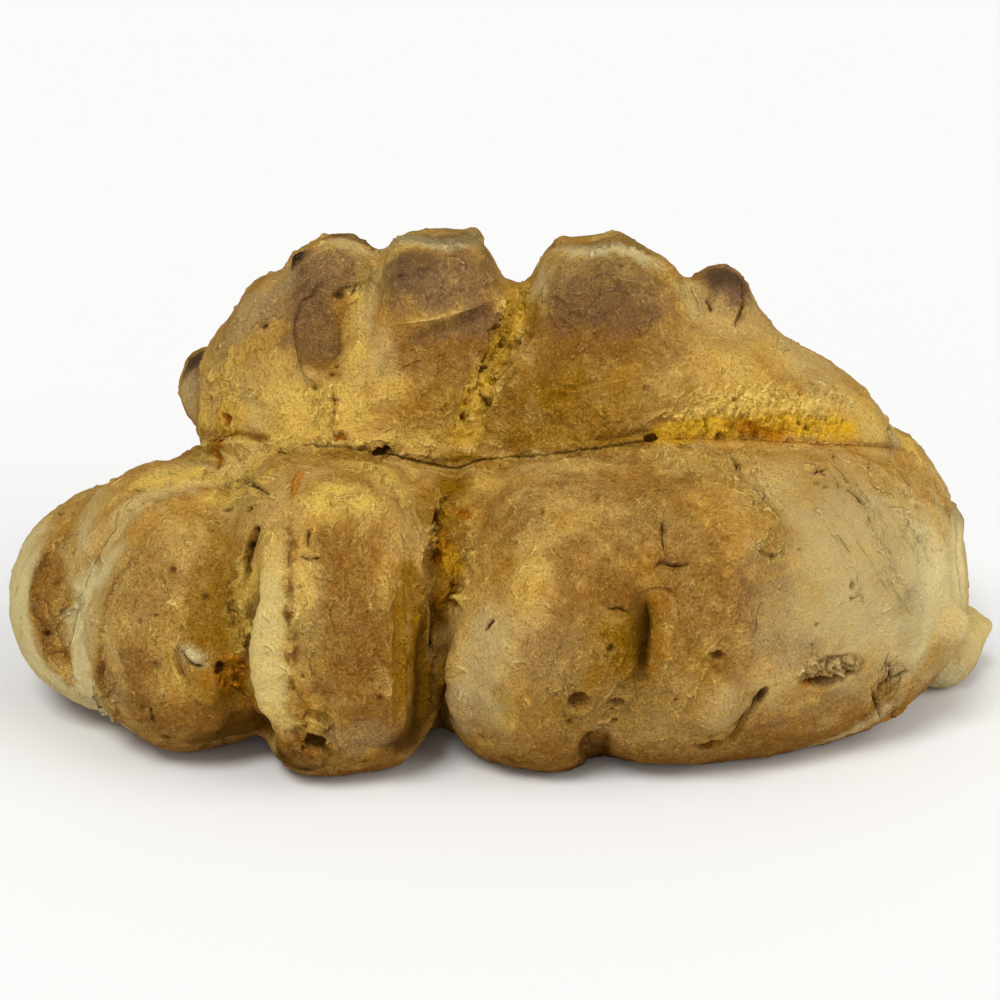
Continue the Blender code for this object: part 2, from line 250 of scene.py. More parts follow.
class Skin:
    """The loaf's surface while marks and browning are worked into it."""

    def __init__(self, mesh: bpy.types.Mesh) -> None:
        """Reads the mesh.

        Args:
            mesh: The smooth surface that marks are laid on.
        """
        count = len(mesh.vertices)
        self.points = read_mesh(mesh)
        self.normals = read_mesh(mesh, "normal")
        self.push = np.zeros((count, 3))
        self.tones = {tone: np.zeros(count) for tone in Tone}
        self.lines = {
            "line_near": np.full(count, FAR), "line_side": np.full(count, FAR), "line_dark": np.zeros(count),
        }
        faces = [face.vertices[:] for face in mesh.polygons]
        self.tree = BVHTree.FromPolygons(self.points.tolist(), faces)
        self.near = KDTree(count)
        for index, point in enumerate(self.points):
            self.near.insert(point, index)
        self.near.balance()

    def under(self, place: Place) -> tuple[np.ndarray, np.ndarray]:
        """Where a place in the frame falls on the skin. A near miss takes the outline.

        Args:
            place: Across and down in the frame.

        Returns:
            The point, and the skin's outward direction there.
        """
        eye, sight = FRONT.eye(), FRONT.sight(place)
        point, normal, _, _ = self.tree.ray_cast(eye, sight)
        if point is None:
            reach = np.arange(FRONT.distance - 0.2, FRONT.distance + 0.2, 4 * MM)
            found = (self.tree.find_nearest(eye + sight * float(far)) for far in reach)
            point, normal, _, _ = min(found, key=lambda one: one[3])
        return np.array(point), np.array(normal)

    def around(self, line: np.ndarray, reach: float) -> np.ndarray:
        """The vertices within reach of any point of a line.

        Args:
            line: Points on the skin.
            reach: How far to look, in metres.

        Returns:
            Indices of vertices.
        """
        found: set[int] = set()
        for point in line:
            found.update(index for _, index, _ in self.near.find_range(point, reach))
        return np.array(sorted(found), dtype=np.int64)

    def facing(self, where: np.ndarray, way: np.ndarray) -> np.ndarray:
        """1 where the skin faces a mark's way, and 0 where it faces away from it."""
        return np.clip((self.normals[where] * way).sum(axis=1) * 2 + 0.5, 0, 1)

    def rule(self, where: np.ndarray, far: np.ndarray, side: np.ndarray, dark: float) -> None:
        """Keeps the distance to the nearest thin line, and the side of it, for the crust's painted shade and
        highlights.

        Args:
            where: Indices of vertices.
            far: Their distances from the line, in millimetres.
            side: 1 on the line's left and -1 on its right.
            dark: 1 for a crack and 0 for a raised edge.
        """
        nearer = far < self.lines["line_near"][where]
        chosen = where[nearer]
        self.lines["line_near"][chosen] = far[nearer]
        self.lines["line_side"][chosen] = (far * side)[nearer]
        self.lines["line_dark"][chosen] = dark

    def paint(self, tone: Tone, where: np.ndarray | slice, amount: np.ndarray) -> None:
        """Adds a tone, or takes it away where the amount is negative.

        Args:
            tone: The tone.
            where: The vertices.
            amount: Shares between -1 and 1.
        """
        old = self.tones[tone][where]
        more = old + (1.0 - old) * np.clip(amount, 0.0, 1.0)
        self.tones[tone][where] = more * (1.0 + np.clip(amount, -1.0, 0.0))


@dataclass(frozen=True)
class Line:
    """A mark along a route: a crack, crease, ridge, step, tear or streak of colour."""

    profile: Profile
    name: str
    route: Route
    width: float
    height: float = 0.0
    tone: Tone = SHADE
    strength: float = 0.0
    lip: float = 0.0
    fades: bool = True
    wander: float = 0.3

    def work(self, skin: Skin) -> None:
        """Lays the rounded route on the skin and works the mark in.

        Args:
            skin: The surface, which the mark changes.
        """
        corners = [Vector(place) for place in self.route]
        ends = [2 * corners[0] - corners[1], *corners, 2 * corners[-1] - corners[-2]]
        places = []
        for before, start, stop, after in zip(ends, ends[1:], ends[2:], ends[3:]):
            steps = max(1, round((stop - start).length / ROUTE_STEP))
            for number in range(steps):
                t = number / steps
                bend = 2 * before - 5 * start + 4 * stop - after
                twist = 3 * start - before - 3 * stop + after
                places.append(start + 0.5 * t * ((stop - before) + t * (bend + t * twist)))
        places.append(corners[-1])
        line, outward = zip(*(skin.under((place.x, place.y)) for place in places))
        self.press(skin, np.array(line), np.array(outward))

    def press(self, skin: Skin, line: np.ndarray, outward: np.ndarray) -> None:
        """Works the mark into the skin along a line on it.

        Args:
            skin: The surface, which the mark changes.
            line: Points on the skin.
            outward: The skin's outward directions there.
        """
        where = skin.around(line, self.width * MM * LINE_REACH)
        if not len(where):
            return
        wide = np.pad(outward, ((EDGES_EVENED, EDGES_EVENED), (0, 0)), mode="edge")
        even = sum(wide[shift : shift + len(outward)] for shift in range(2 * EDGES_EVENED + 1))
        outward = even / np.maximum(np.linalg.norm(even, axis=1), 1e-9)[:, None]
        points = skin.points[where]
        start, along = line[:-1], line[1:] - line[:-1]
        length = np.maximum((along**2).sum(axis=1), 1e-12)
        offset = points[:, None] - start
        t = np.clip((offset * along).sum(axis=2) / length, 0, 1)
        gap = offset - t[..., None] * along
        far = np.linalg.norm(gap, axis=2)
        best = far.argmin(axis=1)
        row = np.arange(len(where))
        far, gap, t = far[row, best], gap[row, best], t[row, best]
        normal = outward[best] * (1 - t)[:, None] + outward[best + 1] * t[:, None]
        side = np.sign((gap * np.cross(normal, along[best])).sum(axis=1))
        share = (best + t) / len(along)
        strength = np.ones(len(where))
        if self.fades:
            strength = np.clip(np.minimum(share, 1 - share) / END_FADE, 0, 1) ** 0.7
        broad, narrow = (unevenness(points, size) for size in RAGGED)
        ragged = 1 + self.wander * (broad + 0.7 * narrow)
        away = far / (self.width * MM * (0.5 + 0.5 * strength) * ragged)
        strength = strength * skin.facing(where, normal)
        rise = self.shape(away, side * np.clip(far / (SOFT_SIDE * MM), 0, 1), points) * strength
        skin.push[where] += normal * (rise * MM)[:, None]
        if self.profile in DARKNESS and self.width < THIN:
            skin.rule(where, far / MM + (1 - strength) * 1.2, side, DARKNESS[self.profile])
        if self.strength:
            rim, core = (-0.8, -0.25) if self.tone is SHADE else (-1.15, -0.5)
            skin.paint(self.tone, where, smooth_step(-away, rim, core) * strength * self.strength)

    def shape(self, away: np.ndarray, side: np.ndarray, points: np.ndarray) -> np.ndarray:
        """The height of the mark across its width.

        Args:
            away: Distance from the route in half-widths.
            side: 1 on the left of the route and -1 on its right, and between these close to it.
            points: The places, for open crumb.

        Returns:
            Heights in millimetres.
        """
        within = np.clip(1 - away, 0, 1)
        lip = ring(away, LINE_LIP) * self.lip
        if self.profile is Profile.CRACK:
            return lip - within**0.8 * self.height
        if self.profile is Profile.CREASE:
            return lip - within**1.4 * self.height
        if self.profile is Profile.RIDGE:
            return np.exp(-((away / 0.6) ** 2)) * self.height
        if self.profile is Profile.STEP:
            left = smooth_step(side, -1.0, 1.0)
            return (np.exp(-away / 0.9) * left - np.exp(-away / 0.3) * (1 - left) * 0.4) * self.height
        if self.profile is Profile.TORN:
            return lip - open_crumb(points, self.height) * smooth_step(within, 0.0, 0.45)
        return np.zeros_like(away)


@dataclass(frozen=True)
class Spot:
    """A round or long patch: a pit, hollow, blister, torn crumb or blot of colour."""

    profile: Profile
    name: str
    centre: Place
    radii: tuple[float, float]
    height: float = 0.0
    tone: Tone = SHADE
    strength: float = 0.0
    turn: float = 0.0
    lip: float = 0.0
    wander: float = 0.35

    def work(self, skin: Skin) -> None:
        """Works the patch into the skin where its place in the frame falls on it.

        Args:
            skin: The surface, which the patch changes.
        """
        across = np.cross(np.array(FRONT.sight(self.centre)), (0.0, 0.0, 1.0))
        self.press(skin, *skin.under(self.centre), across)

    def press(self, skin: Skin, point: np.ndarray, normal: np.ndarray, across: np.ndarray) -> None:
        """Works the patch into the skin at a point on it.

        Args:
            skin: The surface, which the patch changes.
            point: The patch's middle.
            normal: The skin's outward direction there.
            across: The direction of the first radius when the turn is zero.
        """
        across = unit(across - normal * (across @ normal))
        up = np.cross(normal, across)
        turn = math.radians(self.turn)
        long_way = across * math.cos(turn) + up * math.sin(turn)
        short_way = up * math.cos(turn) - across * math.sin(turn)
        where = skin.around(point[None], max(self.radii) * MM * SPOT_REACH)
        if not len(where):
            return
        places = skin.points[where]
        offset = places - point
        wide, tall = self.radii[0] * MM, self.radii[1] * MM
        away = (offset @ long_way / wide) ** 2 + (offset @ short_way / tall) ** 2
        away = np.sqrt(away + (offset @ normal / (1.6 * max(wide, tall))) ** 2)
        size = max(2.5, min(self.radii))
        shift = self.centre[0] * 0.013
        away *= 1 + self.wander * unevenness(places, size * 0.9, shift)
        away *= 1 + self.wander * 0.6 * unevenness(places, size * 0.35, shift)
        facing = skin.facing(where, normal)
        skin.push[where] += skin.normals[where] * (self.shape(away, places) * facing * MM)[:, None]
        if self.strength:
            hard = self.profile in (Profile.PIT, Profile.PEEL)
            rim, core = (-0.95, -0.6) if hard else (-1.2, -0.5)
            skin.paint(self.tone, where, smooth_step(-away, rim, core) * facing * self.strength)

    def shape(self, away: np.ndarray, points: np.ndarray) -> np.ndarray:
        """The height of the patch.

        Args:
            away: Distance from the centre in radii.
            points: The places, for open crumb.

        Returns:
            Heights in millimetres.
        """
        within = np.clip(1 - away, 0, 1)
        lip = ring(away, SPOT_LIP) * self.lip
        if self.profile is Profile.BLISTER:
            return smooth_step(within, 0.0, 0.9) * self.height
        if self.profile is Profile.TORN:
            return lip - open_crumb(points, self.height) * smooth_step(within, 0.0, 0.35)
        if self.profile in STEEPNESS:
            return lip - smooth_step(within, 0.0, STEEPNESS[self.profile]) * self.height
        return np.zeros_like(away)


Marks = tuple[Line | Spot, ...]


@dataclass(frozen=True)
class Strewing:
    """Small marks strewn over the whole crust at random. Those with a length wander along the skin.

    None falls below the lowest millimetre, and a share is skipped where the crust is floured.
    """

    profile: Profile
    name: str
    count: int
    width: tuple[float, float]
    height: tuple[float, float]
    length: tuple[float, float] = (0.0, 0.0)
    tone: Tone = SHADE
    strength: float = 0.0
    lip: float = 0.0
    bend: float = 0.5
    stretch: tuple[float, float] = (0.6, 1.5)
    lowest: float = 4.0
    floured: float = 0.45
    skipped: float = 0.7

    def scatter(self, skin: Skin, draw: random.Random) -> None:
        """Works the marks into the skin.

        Args:
            skin: The surface, which the marks change.
            draw: The source of all chance.
        """
        for _ in range(self.count):
            index = draw.randrange(len(skin.points))
            point, normal = skin.points[index], skin.normals[index]
            width, height = draw.uniform(*self.width), draw.uniform(*self.height)
            heading = unit(np.cross(normal, [draw.gauss(0, 1) for _ in range(3)]))
            floured = skin.tones[FLOUR][index] > self.floured
            if point[2] < self.lowest * MM or (floured and draw.random() < self.skipped):
                continue
            look = {"height": height, "tone": self.tone, "strength": self.strength, "lip": self.lip}
            if self.length[1]:
                line, outward = self.wander(skin, point, heading, draw)
                Line(self.profile, self.name, (), width, **look).press(skin, line, outward)
            else:
                radii = (width, width * draw.uniform(*self.stretch))
                place = (draw.uniform(0, 1000), 0.0)
                Spot(self.profile, self.name, place, radii, **look).press(skin, point, normal, heading)

    def wander(
        self, skin: Skin, point: np.ndarray, heading: np.ndarray, draw: random.Random
    ) -> tuple[np.ndarray, np.ndarray]:
        """A winding line on the skin.

        Args:
            skin: The surface.
            point: Where the line starts.
            heading: The way it sets out.
            draw: The source of all chance.

        Returns:
            Points on the skin, and its outward directions there.
        """
        steps = max(2, round(draw.uniform(*self.length) / PATH_STEP))
        way, spot = Vector(heading), Vector(point)
        line, outward = [], []
        for _ in range(steps + 1):
            spot, normal, _, _ = skin.tree.find_nearest(spot)
            line.append(spot[:])
            outward.append(normal[:])
            way = Quaternion(normal, draw.gauss(0, self.bend)) @ way
            way = (way - normal * way.dot(normal)).normalized()
            spot = spot + way * PATH_STEP * MM
        return np.array(line), np.array(outward)


@dataclass(frozen=True)
class Brushing:
    """Short strokes inside an oval of the frame, most of them in one direction."""

    profile: Profile
    name: str
    count: int
    centre: Place
    radii: tuple[float, float]
    heading: float
    spread: float
    length: tuple[float, float]
    width: float
    height: float
    tone: Tone = GOLD
    strength: float = 0.3
    slant: float = 0.0

    def scatter(self, skin: Skin, draw: random.Random) -> None:
        """Works the strokes into the skin.

        Args:
            skin: The surface, which the strokes change.
            draw: The source of all chance.
        """
        tilt = math.radians(self.slant)
        for _ in range(self.count):
            reach, way = math.sqrt(draw.random()), draw.uniform(0, 2 * math.pi)
            across, down = self.radii[0] * reach * math.cos(way), self.radii[1] * reach * math.sin(way)
            x = self.centre[0] + across * math.cos(tilt) + down * math.sin(tilt)
            y = self.centre[1] - across * math.sin(tilt) + down * math.cos(tilt)
            heading = math.radians(self.heading + draw.gauss(0, self.spread))
            half = draw.uniform(*self.length) / PIXEL / 2
            step_x, step_y = math.cos(heading) * half, -math.sin(heading) * half
            bow = draw.gauss(0, 0.25)
            middle = (x - step_y * bow, y + step_x * bow)
            route = ((x - step_x, y - step_y), middle, (x + step_x, y + step_y))
            tall = self.height * draw.uniform(0.6, 1.3)
            Line(self.profile, self.name, route, self.width, tall, self.tone, self.strength).work(skin)


crack, crease, ridge, step, tear, smear = (
    partial(Line, Profile[kind]) for kind in ("CRACK", "CREASE", "RIDGE", "STEP", "TORN", "WASH")
)
pit, hollow, blister, peel, crumb, blot = (
    partial(Spot, Profile[kind]) for kind in ("PIT", "HOLLOW", "BLISTER", "PEEL", "TORN", "WASH")
)
brush_ridges, brush_creases, brush_steps = (
    partial(Brushing, Profile[kind]) for kind in ("RIDGE", "CREASE", "STEP")
)


def wash(name: str, centre: Place, seen: tuple[float, float], strength: float, turn: float = 0.0) -> Spot:
    """A blot of colour, its radii as seen in the frame."""
    radii = (seen[0] * PIXEL, seen[1] * PIXEL)
    return blot(name, centre, radii, strength=strength, turn=turn, wander=0.45)


def streak(name: str, route: Route, seen: float, strength: float) -> Line:
    """A stroke of colour, its half-width as seen in the frame."""
    return smear(name, route, seen * PIXEL, strength=strength, wander=0.45)


WASHES: dict[Tone, Marks] = {
    MAUVE: (
        wash("horn_1_crest", (328, 270), (44, 30), 0.75),
        wash("horn_1_shoulder", (284, 300), (58, 34), 0.65, 45),
        wash("left_shoulder_mauve", (232, 322), (26, 52), 0.4, -35),
        wash("scoop_mauve", (312, 330), (26, 46), 0.6),
        wash("flap_top", (196, 372), (22, 40), 0.85),
        wash("horn_2_dome", (446, 272), (62, 44), 0.72),
        wash("horn_2_dome_middle", (432, 290), (50, 28), 0.5),
        streak("horn_2_left", ((401, 252), (398, 290), (395, 322)), 9, 0.4),
        wash("scoop_brow_mauve", (322, 282), (20, 12), 0.6),
        wash("horn_2_right", (488, 262), (16, 28), 0.5),
        wash("horn_2_under_fold", (482, 322), (34, 16), 0.6, 15),
        wash("horn_3_crown", (610, 294), (76, 47), 0.62),
        wash("horn_4_brown", (730, 282), (30, 34), 1),
        wash("column_low_mauve", (372, 738), (30, 24), 0.3),
        wash("side_edge_grey", (464, 708), (20, 40), 0.4),
        wash("side_right_of_middle", (765, 600), (32, 60), 0.4),
        wash("side_low_mauve", (820, 705), (60, 18), 0.3, 12),
    ),
    TOAST: (
        wash("horn_1_right_toast", (370, 312), (9, 26), 0.35),
        wash("scoop_brown", (321, 340), (34, 56), 0.7),
        wash("horn_2_middle", (426, 352), (50, 34), 0.75),
        wash("tear_left_toast", (488, 336), (24, 40), 1, 20),
        wash("tear_right_toast", (546, 345), (20, 38), 0.6),
        wash("tear_left_brown", (462, 352), (24, 22), 0.5),
        wash("horn_3_middle", (602, 328), (68, 52), 0.95),
        wash("horn_3_right_toast", (660, 354), (28, 26), 0.55),
        wash("end_scoop_brown", (54, 600), (20, 62), 0.5),
        streak("end_inner_edge", ((62, 545), (42, 570), (36, 600), (44, 632), (58, 664)), 8, 0.8),
        wash("disc", (155, 615), (45, 70), 0.15),
        # Browning and painted shade low on the left finger's disc.
        wash("disc_low", (165, 718), (80, 26), 0.85),
        wash("disc_left_brown", (136, 672), (22, 40), 0.75),
        wash("disc_middle_toast", (150, 580), (34, 46), 0.45),
        wash("lip_foot_toast", (500, 400), (34, 24), 0.1),
        wash("column_brown", (350, 620), (42, 98), 0.8),
        wash("column_low", (362, 728), (46, 38), 0.65),
        wash("column_low_toast", (325, 690), (15, 18), 0.6),
        # Browning and painted shade along the middle finger's foot.
        streak("column_bottom", ((300, 768), (350, 772), (420, 758)), 12, 0.85),
        wash("column_right_brown", (368, 680), (22, 66), 0.55),
        wash("column_top_toast", (352, 545), (34, 26), 0.3),
        wash("gap_toast_right", (490, 515), (20, 28), 0.3),
        wash("tear_foot_brown", (528, 515), (24, 30), 0.4),
        wash("side_top", (620, 490), (95, 30), 0.5),
        wash("side_under_lip", (606, 458), (60, 11), 0.55),
        wash("side_top_toast", (650, 530), (66, 36), 0.55),
        wash("side_middle", (705, 600), (50, 66), 0.7),
        wash("side_shoulder_toast", (580, 560), (34, 24), 0.55),
        wash("side_arc_dark", (552, 640), (24, 64), 0.7, -25),
        wash("side_above_slit", (612, 590), (34, 26), 0.9),
        wash("peel_right_brown", (762, 728), (26, 22), 0.6),
        wash("strip_left_olive", (795, 650), (34, 22), 0.7),
        # Browning and painted shade along the foot of the right side.
        streak("side_bottom", ((480, 762), (600, 755), (700, 762), (780, 750)), 18, 0.85),
        wash("above_peel", (736, 662), (32, 24), 0.55),
        wash("far_end_toast", (905, 590), (46, 90), 0.25),
    ),
    FLOUR: (
        wash("flap_low_flour", (188, 396), (18, 30), 0.4),
        wash("left_slope_flour", (262, 294), (60, 30), 0.22, 45),
        streak("between_horns_flour", ((378, 262), (372, 300), (362, 350)), 15, 0.35),
        wash("horn_2_left_flour", (385, 356), (16, 36), 0.18),
        wash("horn_3_to_4_olive", (690, 302), (18, 30), 0.35),
        wash("slope_flour", (802, 358), (80, 46), 0.28, -38),
        wash("slope_foot_left_flour", (712, 318), (40, 30), 0.15),
        streak("horn_2_flour", ((384, 246), (410, 240), (445, 244), (484, 238)), 14, 0.75),
        wash("horn_1_crest_flour", (350, 244), (30, 14), 0.5),
        streak("horn_3_flour", ((556, 246), (590, 250), (625, 250), (668, 272)), 19, 0.75),
        wash("horn_3_left_flour", (541, 280), (13, 28), 0.5),
        streak("end_rim", ((46, 514), (20, 560), (12, 600), (22, 655), (58, 696), (96, 722)), 36, 1),
        streak("end_rim_inner", ((50, 530), (32, 564), (24, 600), (32, 652), (66, 690), (100, 716)), 17,
            0.95),
        streak("end_low", ((60, 688), (84, 708), (112, 728), (146, 744)), 17, 1),
        streak("finger_rim_pale", ((128, 534), (104, 567), (87, 600), (81, 646), (84, 682), (97, 712),
            (116, 734)), 21, 1),
        wash("end_top_flour", (140, 506), (70, 20), 0.4, 20),
        wash("horn_1_crest_pale", (356, 236), (16, 6), 0.4),
        wash("horn_2_crest_pale", (392, 243), (14, 7), 0.4),
        wash("horn_3_crest_pale", (634, 253), (22, 8), 0.4),
        wash("right_rim_pale", (963, 543), (10, 26), 0.5),
        wash("side_low_dust", (690, 712), (150, 44), 0.13),
        wash("side_inner_dust", (548, 650), (48, 50), 0.14),
        wash("right_flour_dust", (815, 478), (52, 34), 0.2),
        wash("shoulder_flour", (225, 470), (70, 26), 0.3),
        streak("cut_face_flour", ((273, 540), (268, 620), (271, 690), (283, 740)), 22, 0.6),
        wash("column_left_flour", (311, 610), (15, 62), 0.12),
        wash("column_low_flour", (362, 740), (38, 22), 0.15),
        streak("side_edge_pale", ((508, 600), (486, 650), (484, 700), (498, 735)), 28, 0.5),
        wash("side_edge_grey_flour", (462, 705), (18, 36), 0.3),
        wash("side_bottom_flour", (855, 730), (56, 14), 0.6, 20),
        wash("side_flour", (895, 585), (100, 122), 0.6, 20),
        wash("side_flour_left", (785, 640), (46, 74), 0.25),
        wash("side_flour_low", (850, 625), (55, 36), 0.3),
        wash("far_end_flour", (932, 590), (36, 92), 0.7),
        wash("far_low_flour", (936, 682), (44, 26), 1, 20),
        wash("tail_pale", (968, 618), (38, 44), 0.7),
        wash("tail_flour", (932, 688), (50, 24), 1, 25),
        wash("far_rim", (956, 580), (16, 66), 0.9),
    ),
    CRUMB: (
        wash("flap_foot_crumb", (232, 420), (22, 26), 0.45),
        wash("gap_flap_crumb", (455, 565), (13, 17), 0.6),
    ),
    CHAR: (
        wash("flap_burn", (198, 358), (22, 24), 0.75),
        wash("horn_2_dark", (408, 268), (34, 26), 0.3),
        wash("horn_2_crest_dark", (470, 240), (34, 20), 0.3),
        wash("horn_3_crest_dark", (590, 300), (58, 40), 0.12),
        wash("horn_3_dark", (626, 262), (50, 20), 0.15),
        wash("horn_4_burn", (726, 276), (26, 22), 0.62),
        streak("horn_2_crest_olive", ((384, 244), (410, 238), (445, 240), (484, 236)), 15, 0.5),
        wash("horn_1_crest_olive", (354, 238), (30, 13), 0.55),
        streak("horn_3_crest_olive", ((558, 244), (590, 244), (625, 242), (664, 262)), 17, 0.4),
        wash("side_right_olive", (850, 560), (100, 100), 0.17),
        wash("far_right_olive", (912, 622), (22, 44), 0.22),
        wash("right_rim_olive", (962, 516), (18, 46), 0.36),
    ),
    GOLD: (
        streak("between_horns_1_2", ((372, 262), (365, 290), (357, 330), (347, 378)), 15, 0.7),
        wash("cheek_gold", (262, 408), (50, 32), 0.15),
        wash("cheek_gold_right", (325, 416), (48, 34), 0.7),
        streak("left_seam_gold", ((190, 444), (214, 448), (250, 446), (310, 446)), 19, 1),
        wash("horn_2_foot_gold", (392, 385), (24, 20), 0.4),
        wash("horn_2_low_gold", (405, 442), (50, 14), 0.6),
        wash("tear_foot_gold", (470, 428), (24, 16), 0.7),
        wash("lip_low_gold", (560, 438), (110, 12), 0.35),
        wash("slope_gold", (862, 416), (50, 34), 0.55, -35),
        wash("slope_middle_gold", (775, 352), (40, 22), 0.35, -35),
        wash("slope_gold_left", (745, 372), (45, 28), 0.35),
        wash("end_scoop_gold", (66, 585), (12, 26), 0.4),
        wash("shoulder_low_gold", (222, 500), (26, 14), 0.8),
        wash("shoulder", (222, 478), (84, 36), 1),
        wash("shoulder_corner", (259, 487), (20, 14), 0.9),
        wash("shoulder_end", (214, 446), (40, 24), 1),
        streak("gap_yellow", ((250, 560), (242, 610), (236, 655)), 15, 1),
        streak("cut_face", ((271, 528), (266, 600), (270, 680), (284, 747)), 27, 1),
        wash("column_left_gold", (311, 600), (13, 62), 0.5),
        wash("column_left_light", (317, 645), (16, 26), 0.4),
        wash("column_top_gold", (342, 500), (42, 24), 0.9),
        wash("column_top_right_gold", (392, 480), (44, 26), 0.7),
        wash("column_scoop_gold", (318, 716), (20, 26), 1),
        wash("gap_corner_gold", (469, 493), (15, 12), 0.5),
        wash("side_corner", (490, 486), (22, 16), 0.4),
        streak("side_edge_gold", ((552, 548), (510, 610)), 18, 0.35),
        wash("side_edge_low_gold", (508, 714), (15, 24), 0.6),
        wash("slope_foot_gold", (902, 440), (34, 18), 0.9, -40),
        wash("tail", (972, 618), (34, 44), 1),
    ),
    # Dark crumb colour, and painted shade under the lip, in the mouth, tear and gaps, on the middle finger's
    # right side and under the lobes.
    DEEP: (
        wash("horn_2_low", (440, 418), (50, 30), 0.35),
        wash("horn_2_low_left", (436, 398), (34, 24), 0.45),
        streak("tear_left_deep", ((516, 300), (497, 335), (478, 372)), 10, 0.8),
        wash("tear_right_deep", (517, 384), (16, 26), 0.7),
        streak("tear_right_deep_low", ((501, 384), (508, 418), (542, 434)), 26, 0.6),
        wash("tear_right_top_deep", (533, 318), (13, 32), 0.8),
        wash("horn_3_left", (560, 365), (32, 55), 0.8),
        wash("horn_3_low", (600, 405), (85, 34), 0.65),
        wash("lip_low", (560, 440), (115, 16), 0.7),
        wash("horn_3_low_deep", (622, 376), (28, 14), 0.5),
        wash("disc_right", (212, 610), (32, 84), 0.75),
        wash("shell_deep", (196, 682), (16, 15), 0.5),
        wash("underside", (240, 715), (42, 42), 1),
        wash("gap_low_deep", (440, 632), (13, 24), 0.3),
        streak("gap_dark", ((256, 524), (250, 552)), 8, 0.8),
        wash("column_left_low", (294, 695), (14, 24), 0.5),
        streak("column_ridge", ((397, 560), (398, 650), (399, 755)), 13, 0.9),
        streak("column_side", ((416, 575), (424, 670), (430, 750)), 30, 1),
        wash("column_top_right_deep", (427, 510), (16, 28), 0.7),
        wash("column_corner_deep", (408, 576), (13, 22), 0.8),
        streak("gap_deep", ((458, 490), (450, 560), (444, 610)), 16, 0.7),
        streak("gap_brown", ((456, 490), (447, 560), (440, 620), (436, 650)), 9, 0.8),
        streak("gap_dark_low", ((441, 640), (442, 690), (444, 742)), 12, 0.9),
        wash("gap_right_deep", (506, 536), (18, 36), 0.45),
        wash("mouth_middle_deep", (466, 461), (44, 10), 0.9),
        wash("mouth_left_deep", (362, 456), (36, 9), 0.6),
        wash("under_mouth_middle", (452, 484), (20, 24), 0.9),
        wash("peel_edge_deep", (742, 706), (15, 30), 0.8, -35),
        wash("side_inner", (600, 685), (62, 80), 0.85, -15),
        wash("slit_halo", (642, 638), (26, 60), 0.85),
        wash("side_inner_right", (690, 690), (42, 60), 0.35),
    ),
    SHADE: (
        wash("underside_dark", (242, 728), (58, 24), 0.75),
        wash("left_rim_foot_dark", (109, 727), (34, 9), 0.5),
        wash("middle_foot_dark", (296, 762), (38, 12), 0.5),
        wash("end_foot_dark", (928, 694), (30, 12), 0.45),
        wash("left_seam_dark", (204, 446), (20, 7), 0.4),
        wash("crater_shade", (320, 752), (20, 12), 0.35),
        streak("column_side_shade", ((428, 600), (420, 680), (415, 748)), 20, 0.6),
        wash("column_side_dark", (424, 700), (24, 70), 0.55),
        wash("column_foot_dark", (408, 738), (26, 32), 0.85),
        wash("gap_low_shade", (446, 634), (13, 26), 0.5),
        wash("slit_dark", (643, 640), (11, 46), 0.65),
        streak("side_bottom_shade", ((528, 772), (575, 768), (620, 774), (668, 772)), 11, 0.7),
    ),
    AMBER: (
        wash("gap_orange", (232, 672), (20, 20), 0.6),
        wash("crater_amber", (320, 750), (20, 12), 0.4),
        wash("column_scoop_amber", (308, 708), (12, 22), 0.4),
        wash("gap_amber", (437, 553), (12, 20), 0.55),
        wash("gap_amber_low", (437, 604), (12, 20), 0.5),
        wash("slit_amber", (650, 634), (16, 44), 0.3),
    ),
}

